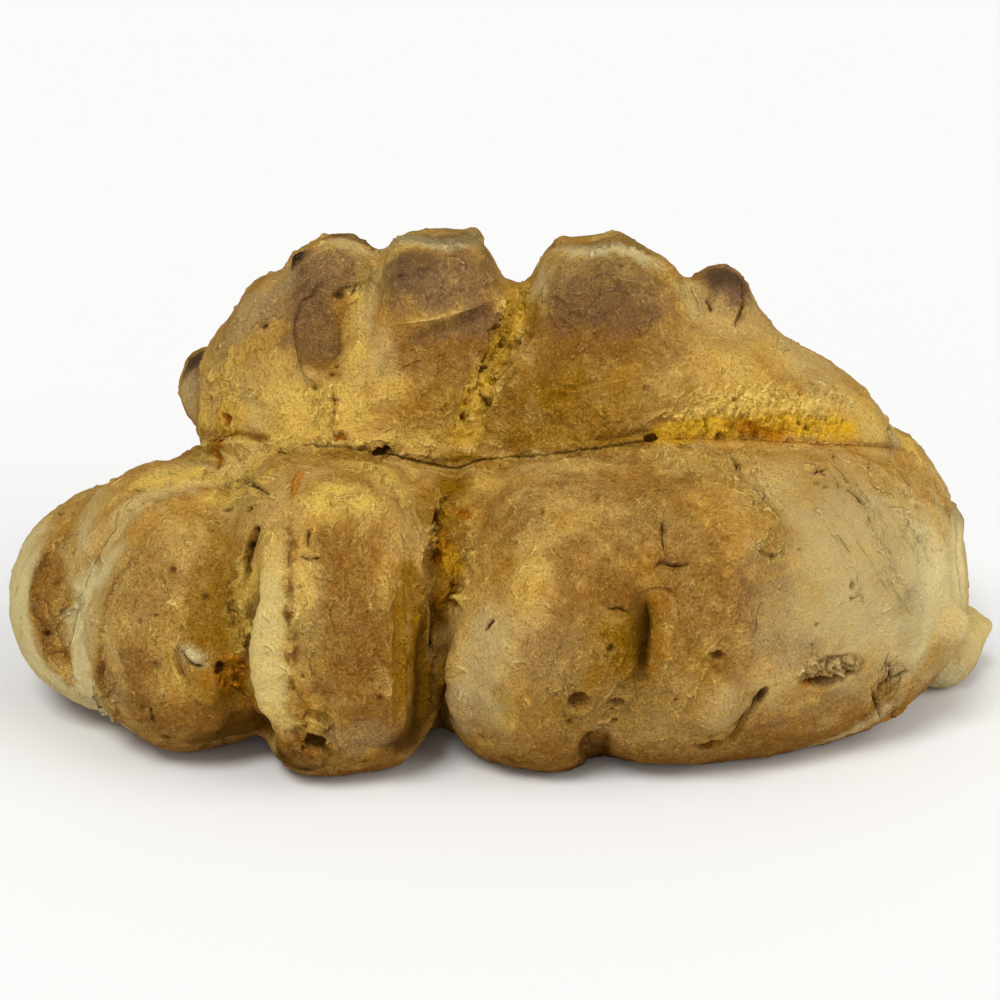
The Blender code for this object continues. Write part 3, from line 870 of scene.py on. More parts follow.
FORMS: Marks = (
    blister("side_bulge", (520, 650), (15, 38), 2.5, turn=-15, wander=0.15),
    blister("side_bulge_right", (690, 650), (12, 30), 1.8, wander=0.15),
    blister("side_left_edge", (458, 680), (7.5, 30), 4.5, wander=0.15),
    hollow("underside_hollow", (236, 697), (9, 18), 4, wander=0.15),
    blister("disc_bulge", (152, 620), (17, 27), 2.2, wander=0.15),
    blister("column_bulge", (340, 640), (14, 40), 2, wander=0.15),
    blister("cut_face_swell", (258, 640), (7.5, 38), 4.5, wander=0.15),
    hollow("column_side_hollow", (424, 680), (6.5, 28), 2.8, wander=0.15),
    blister("right_end_fill", (950, 518), (9, 22), 3.4, wander=0.15),
    blister("horn_2_dome_swell", (428, 280), (20, 15), 2.8, wander=0.15),
    blister("horn_3_dome_swell", (610, 300), (28, 19), 2.8, wander=0.15),
    ridge("left_seam_fill", ((205, 440), (226, 443), (262, 445)), 6.4, 7.2, wander=0.12),
    ridge("seam_fill", ((250, 446), (310, 449), (372, 454)), 4.8, 3.6, wander=0.2),
    ridge("horn_1_flank_fill", ((366, 252), (361, 285), (357, 330), (349, 372)), 5.4, 4.4, wander=0.15),
    ridge("tear_floor", ((522, 286), (508, 330), (490, 372), (466, 425)), 5.6, 4.6, wander=0.2),
    ridge("left_gap_floor", ((248, 570), (240, 620), (236, 665)), 5.4, 6.4, wander=0.2),
    ridge("middle_gap_floor", ((458, 486), (450, 540), (442, 620)), 6.4, 6.4, wander=0.2),
    ridge("middle_gap_low_floor", ((438, 620), (438, 700)), 4.4, 3, wander=0.2),
    blister("tail_web", (952, 626), (9.5, 11), 6, wander=0.12),
    ridge("arc_ridge", ((592, 590), (560, 632), (540, 680), (512, 724), (500, 758)), 4.5, 2.2, wander=0.15),
    crease("arc_valley", ((606, 606), (578, 650), (556, 700), (530, 752)), 4.5, 2.2, wander=0.15),
    ridge("slit_ridge", ((656, 590), (664, 630), (660, 680), (648, 730)), 4, 2.2, wander=0.15),
    blister("peeled_bulge", (722, 710), (9, 11), 4.2, FLOUR, 0.22, -22, wander=0.1),
    step("finger_over_end", ((152, 500), (116, 528), (92, 570), (74, 618), (71, 660), (82, 694)), 3.2, 3.4,
        wander=0.1),
    crease("tail_valley", ((946, 500), (958, 550), (963, 600), (950, 640)), 3.4, 1, FLOUR, 0.5),
    blister("tail_tip", (988, 624), (4, 4), 1.4, wander=0.1),
)

HORNS: Marks = (
    blister("horn_1_peak", (352, 238), (5.5, 4), 1.6),
    blister("horn_1_burnt_blister", (299, 260), (4.4, 3), 2.4, CHAR, 1, 40),
    step("horn_2_left_edge", ((352, 372), (355, 335), (359, 300), (365, 270), (380, 244)), 3.2, -1.7,
        wander=0.15),
    hollow("scoop", (326, 340), (12.5, 18.5), 5, turn=6, wander=0.1),
    step("scoop_left_lip", ((319, 387), (304, 375), (296, 352), (294, 326), (300, 307)), 2, 2.6, SHADE, 0.3,
        fades=False),
    step("scoop_brow", ((300, 307), (303, 300), (312, 296), (318, 286), (327, 276)), 1.8, 2.2, SHADE, 0.3),
    step("scoop_pocket_brow", ((331, 300), (338, 290), (350, 287), (365, 288)), 1.8, 2.2, SHADE, 0.4),
    pit("scoop_pocket", (340, 296), (2.6, 1.6), 2, strength=0.5),
    ridge("scoop_wrinkle_1", ((312, 322), (315, 334), (313, 346)), 1.1, 0.9),
    blister("scoop_blister_1", (316, 322), (2, 2.2), 1, GOLD, 0.3),
    blister("scoop_blister_2", (319, 341), (1.7, 2), 1, GOLD, 0.3),
    pit("scoop_pit_1", (336, 365), (1.3, 1.2), 1.4, strength=0.7),
    pit("scoop_pit_2", (332, 374), (1.2, 1.2), 1.2, strength=0.7),
    pit("scoop_pit_3", (315, 389), (1.5, 1.2), 1.4, strength=0.6),
    pit("horn_1_crater", (265, 326), (1.8, 1.4), 1.6, CHAR, 0.8, lip=0.4),
    crease("horn_2_under_fold", ((400, 342), (445, 332), (500, 310)), 3.6, 2.2, MAUVE, 0.45),
    ridge("horn_2_fold", ((372, 333), (405, 325), (440, 318), (480, 306), (508, 296)), 1.7, 1.7, GOLD, 0.45),
    blister("horn_2_blister", (385, 371), (3.2, 2.6), 1.4, TOAST, 0.3),
    ridge("horn_2_ridge", ((395, 352), (412, 347), (432, 350)), 1.6, 1.2),
    blister("horn_2_left_peak", (400, 240), (6, 4), 1.2),
    blister("horn_2_peak", (474, 234), (5, 4), 2.2),
    blister("horn_3_left_peak", (561, 242), (5, 4), 1.8),
    blister("horn_3_right_peak", (624, 240), (5.5, 4), 1.5),
    crease("horn_3_under_brow", ((588, 310), (601, 294), (625, 292), (662, 299)), 2, 1, wander=0.2),
    ridge("horn_3_brow", ((583, 304), (593, 290), (603, 281), (625, 284), (668, 291)), 1.2, 1.7, GOLD, 0.5),
    ridge("horn_3_pale_wrinkle", ((557, 297), (551, 314), (560, 331)), 1.6, 1.6, GOLD, 0.7),
    ridge("fan_1", ((543, 386), (562, 362), (588, 333)), 1, 1.2, GOLD, 0.45),
    ridge("fan_2", ((545, 383), (572, 360), (600, 340)), 1, 1.1, GOLD, 0.45),
    ridge("fan_3", ((546, 380), (580, 350), (612, 324)), 1, 1, GOLD, 0.35),
    ridge("fan_4", ((545, 388), (575, 393), (612, 383), (632, 378)), 1, 1.1, GOLD, 0.45),
    ridge("fan_5", ((548, 383), (580, 384), (608, 372)), 1, 0.9, GOLD, 0.35),
    blister("fan_apex", (544, 385), (2, 1.6), 1.2, GOLD, 0.5),
    crease("horn_3_to_4", ((690, 284), (697, 300), (701, 318)), 2.6, 1.6),
    crease("horn_4_crease", ((742, 283), (744, 306), (735, 327)), 1.8, 2.6, lip=0.9, strength=0.5),
    crack("horn_4_slit", ((704, 299), (709, 305), (712, 314)), 1.1, 1.4, strength=0.6),
)

LEFT_FLAP: Marks = (
    crease("flap_crease", ((212, 348), (214, 395), (211, 436)), 1.8, 2.6, lip=0.8, strength=0.4),
    step("flap_edge", ((206, 432), (205, 400), (204, 352)), 3, 1.4),
    pit("flap_hole", (229, 421), (2.4, 3), 2.6, AMBER, 1, lip=0.9),
    pit("flap_hole_dark", (230, 424), (1.2, 1.4), 1.4, strength=0.8),
    crack("crumb_strip_crease", ((333, 384), (334, 410), (331, 436)), 1.1, 1.2, AMBER, 0.3, lip=0.5),
)

MIDDLE_TEAR: Marks = (
    tear("tear_crumb", ((523, 284), (514, 315), (502, 345), (488, 375), (474, 400), (462, 434)), 6.4, 1.3,
        CRUMB, 0.35, fades=False),
    smear("tear_yellow", ((531, 296), (519, 328), (500, 368), (470, 425)), 5.4, 0, GOLD, 0.8, wander=0.4),
    pit("tear_hole_1", (523, 293), (1.8, 1.4), 1.8, DEEP, 1, lip=0.5),
    pit("tear_hole_2", (520, 311), (1.8, 1.6), 2, DEEP, 1, lip=0.5),
    pit("tear_hole_3", (503, 345), (1.6, 2.6), 2.4, DEEP, 1, turn=-20, lip=0.5),
    pit("tear_hole_4", (494, 360), (1.4, 2.4), 2, DEEP, 1, turn=-20, lip=0.5),
    pit("tear_hole_5", (485, 371), (2.6, 1.6), 2.4, DEEP, 1, lip=0.5),
    pit("tear_hole_6", (470, 392), (1.4, 1.4), 1.6, DEEP, 1, lip=0.5),
    crack("tear_slit", ((480, 397), (487, 403), (494, 406)), 1.2, 1.8, strength=0.7),
    pit("tear_hole_7", (463, 417), (1.4, 1.8), 1.6, DEEP, 1, lip=0.5),
    ridge("tear_strand_right", ((540, 328), (520, 360), (500, 385), (497, 400), (473, 430)), 1.3, 2.4, GOLD,
        0.8),
    ridge("tear_strand_left", ((480, 340), (486, 350), (476, 365), (473, 385), (462, 400)), 1.2, 2.2, GOLD,
        0.7),
    ridge("tear_strand_across", ((494, 328), (506, 334), (518, 331)), 1.1, 2, GOLD, 0.7),
    step("tear_edge_right", ((470, 434), (500, 394), (528, 346), (536, 298)), 2, -1.6),
)

LIP_EDGE: Marks = (
    tear("band_crumb", ((664, 434), (700, 428), (745, 426), (790, 426), (846, 430)), 5.2, 1.2, CRUMB, 0.8,
        fades=False),
    smear("band_gold", ((668, 428), (700, 414), (745, 408), (790, 408), (850, 418)), 6, 0, GOLD, 0.8,
        wander=0.5),
    blot("band_amber", (760, 430), (13, 3.5), 0, AMBER, 0.75),
    pit("band_hole_1", (720, 435), (2.2, 1.2), 2, strength=0.6),
    pit("band_hole_2", (800, 423), (1.3, 1.3), 1.8, strength=0.7),
    pit("band_hole_3", (807, 427), (1.3, 1.3), 1.8, strength=0.7),
    pit("band_hole_4", (735, 400), (1.3, 1.2), 1.4, strength=0.6),
    pit("band_hole_5", (799, 393), (1.3, 1.2), 1.4, strength=0.6),
    pit("band_hole_6", (813, 384), (1.2, 1.1), 1.3, strength=0.6),
    pit("band_hole_7", (835, 388), (1.2, 1.1), 1.3, strength=0.6),
    pit("lip_end_pocket", (650, 438), (3, 1.5), 2.6, strength=0.8),
    ridge("mouth_floor", ((380, 455), (430, 464), (461, 469), (540, 458), (600, 449), (650, 440)), 3, 3,
        fades=False, wander=0.15),
    crack("mouth_left", ((300, 449), (335, 450), (375, 453)), 1.3, 2, strength=0.5),
    crease("mouth_left_middle", ((372, 453), (400, 458), (430, 464), (461, 469), (476, 463)), 1.4, 2.4,
        strength=0.8, fades=False),
    crease("mouth_right_middle", ((476, 463), (510, 460), (540, 458), (600, 449), (652, 440)), 1.3, 1.8,
        strength=0.7, fades=False),
    crease("mouth_right", ((652, 440), (700, 439), (760, 440), (850, 445), (905, 450), (930, 462)), 1.5, 1.4,
        AMBER, 0.4),
    ridge("lip_roll", ((340, 441), (375, 446), (430, 454), (465, 458), (540, 450), (600, 441)), 2.4, 1.8),
    pit("mouth_hole", (382, 450), (4, 2.6), 3.2, strength=1),
    pit("mouth_pocket", (338, 440), (4.2, 3), 3, AMBER, 0.9, lip=0.9),
    step("mouth_teeth", ((366, 447), (376, 440), (392, 443)), 1.6, 1.8, GOLD, 0.3),
)

LEFT_END: Marks = (
    hollow("end_scoop", (58, 603), (8, 22), 3.4, turn=5, wander=0.15),
    step("end_scoop_edge", ((76, 677), (61, 668), (46, 648), (46, 628), (37, 612), (35, 590), (44, 563),
        (60, 541), (90, 530)), 2.2, 2.8, wander=0.1),
    pit("end_pit_1", (75, 552), (1.8, 1.3), 1.3, strength=0.5),
    pit("end_pit_2", (53, 580), (1.4, 1.4), 1.2, strength=0.5),
    pit("end_pit_3", (63, 612), (1.3, 1.6), 1.2, strength=0.5),
    pit("end_pit_4", (47, 633), (1.9, 1.4), 1.6, strength=0.8),
    pit("end_dark_spot", (12, 627), (2, 1.2), 1.2, CHAR, 0.6),
    crease("end_to_finger", ((150, 498), (118, 528), (94, 570), (76, 618), (71, 660), (81, 692)), 2.4, 1.6,
        wander=0.1),
    crack("end_top_crack_1", ((57, 513), (65, 515), (75, 512)), 1.1, 1.2, strength=0.5, lip=0.5),
    crack("end_top_crack_2", ((127, 493), (136, 489), (147, 491)), 1.1, 1.3, strength=0.6, lip=0.5),
    crack("end_top_crack_3", ((141, 503), (151, 500), (160, 504)), 1.1, 1.2, strength=0.5, lip=0.5),
    crack("end_top_crack_4", ((159, 472), (168, 470), (177, 475)), 1.1, 1.3, strength=0.6, lip=0.5),
    crack("end_top_crack_5", ((188, 459), (198, 455), (208, 460)), 1.1, 1.3, strength=0.6, lip=0.5),
)

LEFT_FINGER: Marks = (
    step("finger_rim", ((160, 530), (140, 549), (117, 580), (106, 604), (100, 640), (99, 670), (109, 700),
        (122, 720)), 2.6, -2.6, wander=0.1),
    pit("finger_disc_pit_1", (172, 570), (1.7, 1.3), 1.4, strength=0.5),
    pit("finger_disc_pit_2", (205, 597), (1.6, 1.3), 1.4, strength=0.6),
    pit("finger_disc_pit_3", (143, 620), (1.3, 1.2), 1.1, strength=0.5),
    pit("finger_disc_pit_4", (120, 657), (1.5, 1.3), 1.2, strength=0.5),
    pit("finger_disc_pit_5", (156, 664), (1.5, 1.2), 1.1, strength=0.5),
    step("shell", ((171, 636), (170, 655), (176, 676), (190, 694), (213, 707)), 2.2, 3.6, GOLD, 0.7),
    crease("shell_inner", ((178, 640), (181, 668), (195, 688)), 1.6, 1.6, strength=0.3),
    blister("shell_flake", (193, 655), (5.4, 3), 3, FLOUR, 0.8, -30),
    crack("shell_flake_edge", ((181, 648), (193, 664), (208, 666)), 1.1, 1.6, strength=0.5),
    pit("green_hole", (220, 668), (3, 2.2), 3, strength=1, turn=30),
    pit("finger_bottom_hole", (165, 737), (2.2, 1.4), 1.8, strength=0.9),
    crease("left_to_middle", ((260, 526), (250, 545), (246, 590)), 2.8, 3, strength=0.5),
    crease("left_to_middle_low", ((236, 655), (247, 700), (273, 737)), 2.8, 2, DEEP, 0.6),
    pit("gap_hole_1", (255, 530), (1.9, 1.5), 2.2, strength=0.9),
    pit("gap_hole_2", (249, 546), (1.6, 1.9), 2.2, strength=0.9),
    crack("gap_channel", ((250, 542), (246, 560), (248, 578)), 1.6, 2.6, DEEP, 0.9),
    step("top_pocket", ((219, 470), (224, 453), (241, 440)), 2.9, -3.2, AMBER, 0.9),
    crack("top_tear", ((228, 484), (240, 481), (256, 486), (270, 495)), 1.3, 1.8, lip=0.9, strength=0.6),
    step("top_tear_lip", ((231, 494), (234, 484), (248, 478), (266, 484)), 1.8, 1.6),
    pit("top_tear_hole", (242, 487), (2.8, 1.8), 1.8, DEEP, 0.9, 10, 0.6),
    pit("top_hole_1", (230, 510), (2.2, 1.2), 1.6, strength=0.8),
    pit("top_hole_2", (250, 508), (2.2, 1.2), 1.6, strength=0.8),
)

MIDDLE_FINGER: Marks = (
    step("finger_left_edge", ((297, 498), (290, 545), (293, 590), (288, 640), (291, 668), (299, 695)), 3,
        1.9),
    crack("finger_front_crack", ((299, 556), (310, 559), (323, 557)), 1.1, 1.3, strength=0.5, lip=0.5),
    hollow("finger_dent", (300, 657), (4, 8), 1.8),
    ridge("finger_ridge", ((384, 562), (387, 620), (387, 690), (385, 757)), 2.6, 1.5),
    step("finger_corner", ((404, 757), (404, 690), (403, 620), (402, 570)), 2.6, 1.6),
    crumb("finger_crumb_pores", (426, 655), (6, 24), 2, DEEP, 0.5),
    pit("side_hole_1", (430, 640), (1.6, 1.4), 1.6, strength=0.7),
    pit("side_hole_2", (425, 662), (1.4, 1.4), 1.4, strength=0.7),
    pit("side_hole_3", (426, 686), (1.6, 1.8), 1.6, strength=0.7),
    pit("side_hole_4", (420, 610), (1.4, 1.2), 1.4, strength=0.7),
    step("scallop_edge", ((296, 684), (302, 697), (312, 705), (330, 710), (337, 722), (338, 742), (352, 757)),
        2.2, 3.2, GOLD, 0.35),
    crumb("scallop_crumb", (300, 745), (5.5, 9), 2.4, TOAST, 0.6),
    hollow("scallop_scoop", (316, 718), (6, 5), 2.6, GOLD, 0.6),
    pit("scallop_hole", (319, 742), (4.4, 3.2), 3.4, SHADE, 0.85, -25, 0.9),
    ridge("scallop_fold", ((298, 712), (312, 722), (332, 726)), 1.4, 1.8, GOLD, 0.5),
    blot("finger_dark_tip", (305, 768), (4, 3), 0, CHAR, 0.8),
    ridge("curled_flake", ((306, 470), (296, 484), (294, 502)), 1.4, 2.6, AMBER, 0.8),
    pit("flake_pocket", (285, 457), (3.4, 1.6), 2.4, TOAST, 0.8, 20, 0.7),
    step("flap_edge", ((431, 592), (416, 566), (428, 532), (440, 492)), 2.4, 2.6, GOLD, 0.3),
    tear("gap_crumb", ((458, 488), (452, 520), (446, 560), (440, 610)), 7, 2.2, DEEP, 0.4, fades=False),
    blister("gap_flap_back", (462, 548), (4.5, 7), 2.6, TOAST, 0.5, wander=0.25),
    blister("gap_curl", (482, 500), (5.5, 5), 2.4, TOAST, 0.3),
    pit("gap_pocket_1", (440, 520), (2.4, 3.2), 2.6, DEEP, 1, lip=0.6),
    pit("gap_pocket_2", (465, 515), (2.4, 1.8), 2.6, AMBER, 0.9),
    pit("gap_pocket_3", (438, 558), (2.8, 3.6), 2.4, AMBER, 0.9, lip=0.8),
    crease("gap_depth", ((447, 640), (442, 690), (443, 742)), 2.6, 2.6, strength=0.4),
)

RIGHT_FINGER: Marks = (
    step("crumb_arc", ((512, 764), (520, 722), (545, 690), (560, 640), (588, 598)), 3.2, 0.8, wander=0.15),
    crack("finger_slit", ((485, 631), (490, 624), (495, 619)), 1.2, 1.6, strength=0.7, lip=0.5),
    crease("side_slit", ((646, 600), (643, 640), (639, 684)), 4.6, 2.2, SHADE, 0.2, wander=0.15),
    crease("slit_core", ((644, 604), (642, 638), (638, 674)), 1.9, 2.4, SHADE, 0.9, wander=0.15),
    step("slit_brow", ((630, 601), (645, 591), (664, 588), (684, 599)), 2.4, 1.8),
    pit("large_pit", (578, 701), (4.3, 4.1), 3.6, DEEP, 1, lip=1.6, wander=0.2),
    blot("large_pit_dark", (578, 698), (2.2, 1.8), 0, SHADE, 0.6),
    pit("pit_1", (610, 648), (2, 1.9), 1.8, DEEP, 0.9, lip=0.8),
    pit("pit_2", (617, 701), (3.2, 2.2), 2.2, DEEP, 1, lip=0.9),
    pit("pit_3", (615, 720), (1.5, 1.2), 1.3, strength=0.6),
    pit("pit_4", (570, 722), (1.5, 1.2), 1.3, strength=0.6),
    blister("bump", (648, 672), (2, 2), 1.4),
    pit("bottom_oval", (510, 760), (4, 1.8), 1.8, strength=0.5, lip=0.5),
    pit("right_pit", (717, 655), (2.9, 2.6), 2.4, DEEP, 1, lip=1),
    blot("right_pit_dark", (716, 653), (1.4, 1.2), 0, strength=0.4),
    crease("notch", ((602, 760), (603, 748), (608, 730)), 4, 1.4, strength=0.35, wander=0.15),
)

RIGHT_SIDE: Marks = (
    crack("down_crack", ((664, 508), (662, 535), (666, 560)), 1, 0.8, lip=0.4, strength=0.1),
    crack("cross_crack", ((652, 570), (661, 562), (675, 566), (692, 562)), 1.2, 1.8, lip=0.7, strength=0.6),
    ridge("top_furrow", ((665, 441), (685, 446), (705, 458), (732, 482)), 1.2, 1.3),
    ridge("top_furrow_2", ((684, 441), (706, 448), (728, 466), (744, 492)), 1.2, 1.3),
    crease("top_furrow_3", ((675, 444), (698, 454), (722, 476)), 1.3, 1.2),
    crack("long_crack", ((718, 445), (735, 463), (740, 477), (755, 490), (765, 500), (776, 515), (784, 527)),
        1.2, 1.8, lip=0.7, strength=0.5),
    ridge("swirl", ((763, 518), (778, 528), (780, 546), (766, 556), (757, 546), (764, 534)), 1.3, 2.2, GOLD,
        0.6),
    crack("swirl_hole", ((756, 549), (765, 556), (776, 556)), 1.3, 1.8, strength=0.8),
    crack("star_crack_1", ((809, 462), (820, 468), (826, 476)), 1.1, 1.4, strength=0.7),
    crack("star_crack_2", ((812, 474), (820, 468), (829, 466)), 1.1, 1.4, strength=0.7),
    crack("slit_1", ((846, 488), (856, 497), (863, 507)), 1.1, 1.4, lip=0.5, strength=0.45),
    crack("slit_2", ((866, 514), (874, 530), (884, 549)), 1.1, 1.5, lip=0.5, strength=0.5),
    crease("peeled_rim", ((764, 692), (755, 706), (744, 720), (732, 738), (706, 748)), 2.2, 3, DEEP, 1,
        fades=False, wander=0.15),
    smear("peeled_rim_dark", ((762, 694), (746, 716), (728, 741)), 1.3, 0, SHADE, 0.7),
    pit("peeled_crescent", (760, 697), (2.4, 4.6), 2.4, DEEP, 1, -35, 0.5, 0.2),
    blot("peeled_crescent_dark", (762, 697), (1.6, 3), 0, SHADE, 0.7, -35),
    pit("bottom_hole", (707, 745), (5.2, 2.5), 2.8, DEEP, 1, 15, 0.6, 0.25),
    blot("bottom_hole_dark", (707, 747), (3.6, 1.6), 0, SHADE, 0.6, 15),
    crumb("torn_strip", (829, 669), (15, 5.8), 3.4, TOAST, 0.5, 6, 0.6, wander=0.25),
    blot("torn_strip_amber", (826, 678), (13, 1.6), 0, AMBER, 0.8, 6),
    crack("torn_strip_edge", ((797, 683), (828, 680), (862, 669)), 1.6, 2.6, strength=0.7),
    peel("bark_patch", (889, 690), (7.6, 12.5), 1, TOAST, 0.45, -18, 0.5, wander=0.12),
    crack("bark_crack", ((889, 660), (891, 680), (874, 691), (878, 704), (880, 720)), 1.2, 2, strength=0.9),
    crack("bark_crack_across", ((891, 680), (902, 676), (908, 670)), 1.1, 1.6, strength=0.7),
    step("bark_edge", ((866, 722), (887, 718), (905, 703), (909, 678)), 2, 1.8, AMBER, 0.8),
    pit("side_mark_1", (852, 586), (1.1, 1.9), 1.3, strength=0.5, lip=0.3),
    pit("side_mark_2", (816, 625), (1.1, 1.1), 1, strength=0.4),
    step("rim_tear", ((943, 498), (955, 540), (960, 580), (964, 620)), 2.4, -0.9, FLOUR, 0.4),
    pit("nub_spot", (916, 455), (2, 1.4), 1.6, strength=0.7),
)

MARKS: Marks = (
    *FORMS, *HORNS, *LEFT_FLAP, *MIDDLE_TEAR, *LIP_EDGE,
    *LEFT_END, *LEFT_FINGER, *MIDDLE_FINGER, *RIGHT_FINGER, *RIGHT_SIDE,
)

BRUSHED: tuple[Brushing, ...] = (
    brush_ridges("flap_fibres", 30, (225, 398), (15, 46), 84, 10, (5, 13), 0.9, 1.1, GOLD, 0.55),
    brush_ridges("cheek_striations", 30, (250, 365), (30, 40), 62, 14, (4, 12), 0.9, 0.8),
    brush_ridges("strip_fibres", 26, (325, 412), (15, 32), 88, 10, (4, 10), 0.9, 1.2, GOLD, 0.8),
    brush_steps("seam_flakes", 50, (285, 445), (90, 10), 80, 50, (2, 6), 1.1, 1.6, GOLD, 0.6),
    brush_steps("seam_brown_flakes", 22, (390, 452), (30, 8), 60, 60, (2, 5), 1.1, 1.6, TOAST, 0.5),
    brush_ridges("mouth_frills", 60, (500, 452), (150, 9), 70, 40, (2, 4), 0.8, 1.1, GOLD, 0.5),
    brush_ridges("band_fibres", 130, (752, 422), (92, 15), 64, 16, (3, 8), 0.7, 1.2, GOLD, 0.6),
    brush_ridges("band_amber_fibres", 26, (757, 428), (36, 8), 75, 18, (2, 5), 0.8, 1.2, AMBER, 0.6),
    brush_ridges("band_hairs", 120, (768, 400), (92, 14), 58, 14, (3, 8), 0.7, 0.6, GOLD, 0.5),
    brush_ridges("tear_threads", 60, (495, 356), (17, 82), 62, 36, (3, 8), 0.9, 1.5, GOLD, 0.8, -22),
    brush_creases("tear_dark_threads", 40, (495, 356), (16, 75), 62, 50, (2, 4), 1.2, 2, DEEP, 0.9, -22),
    brush_ridges("scratches", 44, (885, 520), (66, 80), -58, 6, (8, 28), 0.9, 0.6, GOLD, 0.3),
    brush_creases("scratch_creases", 8, (880, 515), (58, 70), -57, 6, (8, 24), 0.7, 0.4, TOAST, 0.1),
    brush_ridges("top_folds", 24, (705, 465), (50, 22), -32, 14, (5, 16), 1, 0.9),
    brush_steps("swirl_curls", 26, (772, 536), (20, 30), 60, 70, (2, 6), 1.1, 1.5, GOLD, 0.4),
    brush_steps("long_crack_flakes", 30, (750, 485), (16, 46), -50, 40, (2, 6), 1, 1.2, GOLD, 0.3, 40),
    brush_ridges("column_striations", 34, (345, 620), (52, 110), 87, 8, (7, 20), 1.1, 0.7),
    brush_ridges("column_side_threads", 26, (426, 640), (18, 80), 80, 30, (3, 9), 1, 1.3, DEEP, 0.3),
    brush_steps("edge_flakes", 34, (290, 610), (5, 95), 84, 30, (2, 6), 1, 1.4, TOAST, 0.5),
    brush_ridges("disc_arcs", 30, (155, 620), (50, 80), 70, 18, (5, 14), 1.1, 0.7),
    brush_ridges("end_arcs", 20, (62, 600), (20, 60), 78, 18, (4, 12), 1, 0.8, TOAST, 0.3),
    brush_steps("rim_crumbs", 30, (107, 693), (13, 32), 60, 60, (1.5, 4), 1, 1.8, TOAST, 0.6, 15),
    brush_ridges("gap_fibres", 44, (240, 600), (12, 46), 80, 28, (3, 8), 0.9, 1.6, GOLD, 0.9),
    brush_ridges("amber_crumb", 30, (230, 672), (16, 20), 60, 70, (2, 5), 0.9, 2, AMBER, 0.9),
    brush_steps("scallop_crumbs", 36, (314, 735), (26, 30), 60, 80, (2, 5), 1.1, 1.9, TOAST, 0.4),
    brush_ridges("strip_tufts", 60, (828, 667), (33, 9), 80, 45, (1.5, 4), 1.1, 2.4, GOLD, 0.7, 6),
    brush_creases("bark_grain", 16, (889, 688), (15, 30), 75, 20, (4, 9), 0.8, 0.9, TOAST, 0.4),
    brush_ridges("gap_threads", 60, (452, 550), (24, 62), 60, 50, (3, 8), 1, 1.6, GOLD, 0.6, 8),
    brush_creases("gap_darks", 12, (450, 545), (18, 60), 60, 50, (2, 6), 1.1, 1.6, AMBER, 0.6, 8),
    brush_steps("shoulder_flakes", 40, (240, 480), (70, 30), 30, 50, (3, 8), 1.2, 1.3, GOLD, 0.35),
    brush_steps("column_top_flakes", 30, (360, 490), (75, 24), 50, 60, (2, 7), 1.1, 1.2),
    brush_ridges("crest_1_wrinkles", 34, (340, 275), (45, 35), 60, 50, (2, 7), 0.9, 0.9, GOLD, 0.25),
    brush_ridges("crest_2_wrinkles", 44, (430, 275), (65, 38), 30, 60, (2, 6), 0.9, 0.9, GOLD, 0.25),
    brush_ridges("crest_3_wrinkles", 60, (610, 290), (75, 48), 20, 60, (2, 7), 0.9, 0.9, GOLD, 0.3),
    brush_steps("crest_3_flour_curls", 30, (600, 258), (50, 16), 0, 70, (2, 5), 0.9, 0.9, GOLD, 0.4),
    brush_steps("crest_2_flour_curls", 20, (425, 250), (38, 12), 0, 70, (2, 5), 0.9, 0.9, GOLD, 0.4),
    brush_ridges("lip_wrinkles", 70, (580, 410), (100, 34), 80, 50, (2, 6), 0.9, 1, GOLD, 0.3),
    brush_ridges("lip_wrinkles_left", 40, (420, 400), (50, 45), 80, 45, (2, 6), 0.9, 0.9, GOLD, 0.3),
    brush_ridges("side_top_wrinkles", 90, (630, 500), (130, 48), 20, 60, (2, 7), 0.9, 0.9, GOLD, 0.3),
    brush_ridges("side_inner_wrinkles", 40, (600, 690), (55, 60), 65, 30, (3, 9), 1, 0.9, GOLD, 0.25),
    brush_ridges("side_right_wrinkles", 40, (700, 640), (45, 85), 75, 25, (3, 10), 1, 0.9),
)

STREWN: tuple[Strewing, ...] = (
    Strewing(Profile.BLISTER, "blister", 300, (1.6, 4.2), (0.4, 1.1)),
    Strewing(Profile.HOLLOW, "dimple", 300, (1.6, 4.5), (0.4, 1.2)),
    Strewing(Profile.RIDGE, "wrinkle", 1900, (0.7, 1.1), (0.25, 0.65), (2, 9), GOLD, 0.3, bend=0.4),
    # Strewn creases take DEEP: painted shade in them.
    Strewing(Profile.CREASE, "crease", 90, (0.9, 1.4), (0.4, 0.9), (4, 14), DEEP, 0.2, lip=0.3, bend=0.35),
    Strewing(Profile.CRACK, "crack", 14, (0.8, 1.1), (0.8, 1.6), (3, 9), strength=0.4, lip=0.5, bend=0.5),
    Strewing(Profile.PIT, "pore", 200, (0.7, 1.2), (0.6, 1.6), strength=0.4, lip=0.3),
    Strewing(Profile.STEP, "flake", 240, (1.2, 2.2), (0.4, 1), (3, 12), GOLD, 0.2, bend=0.6),
)


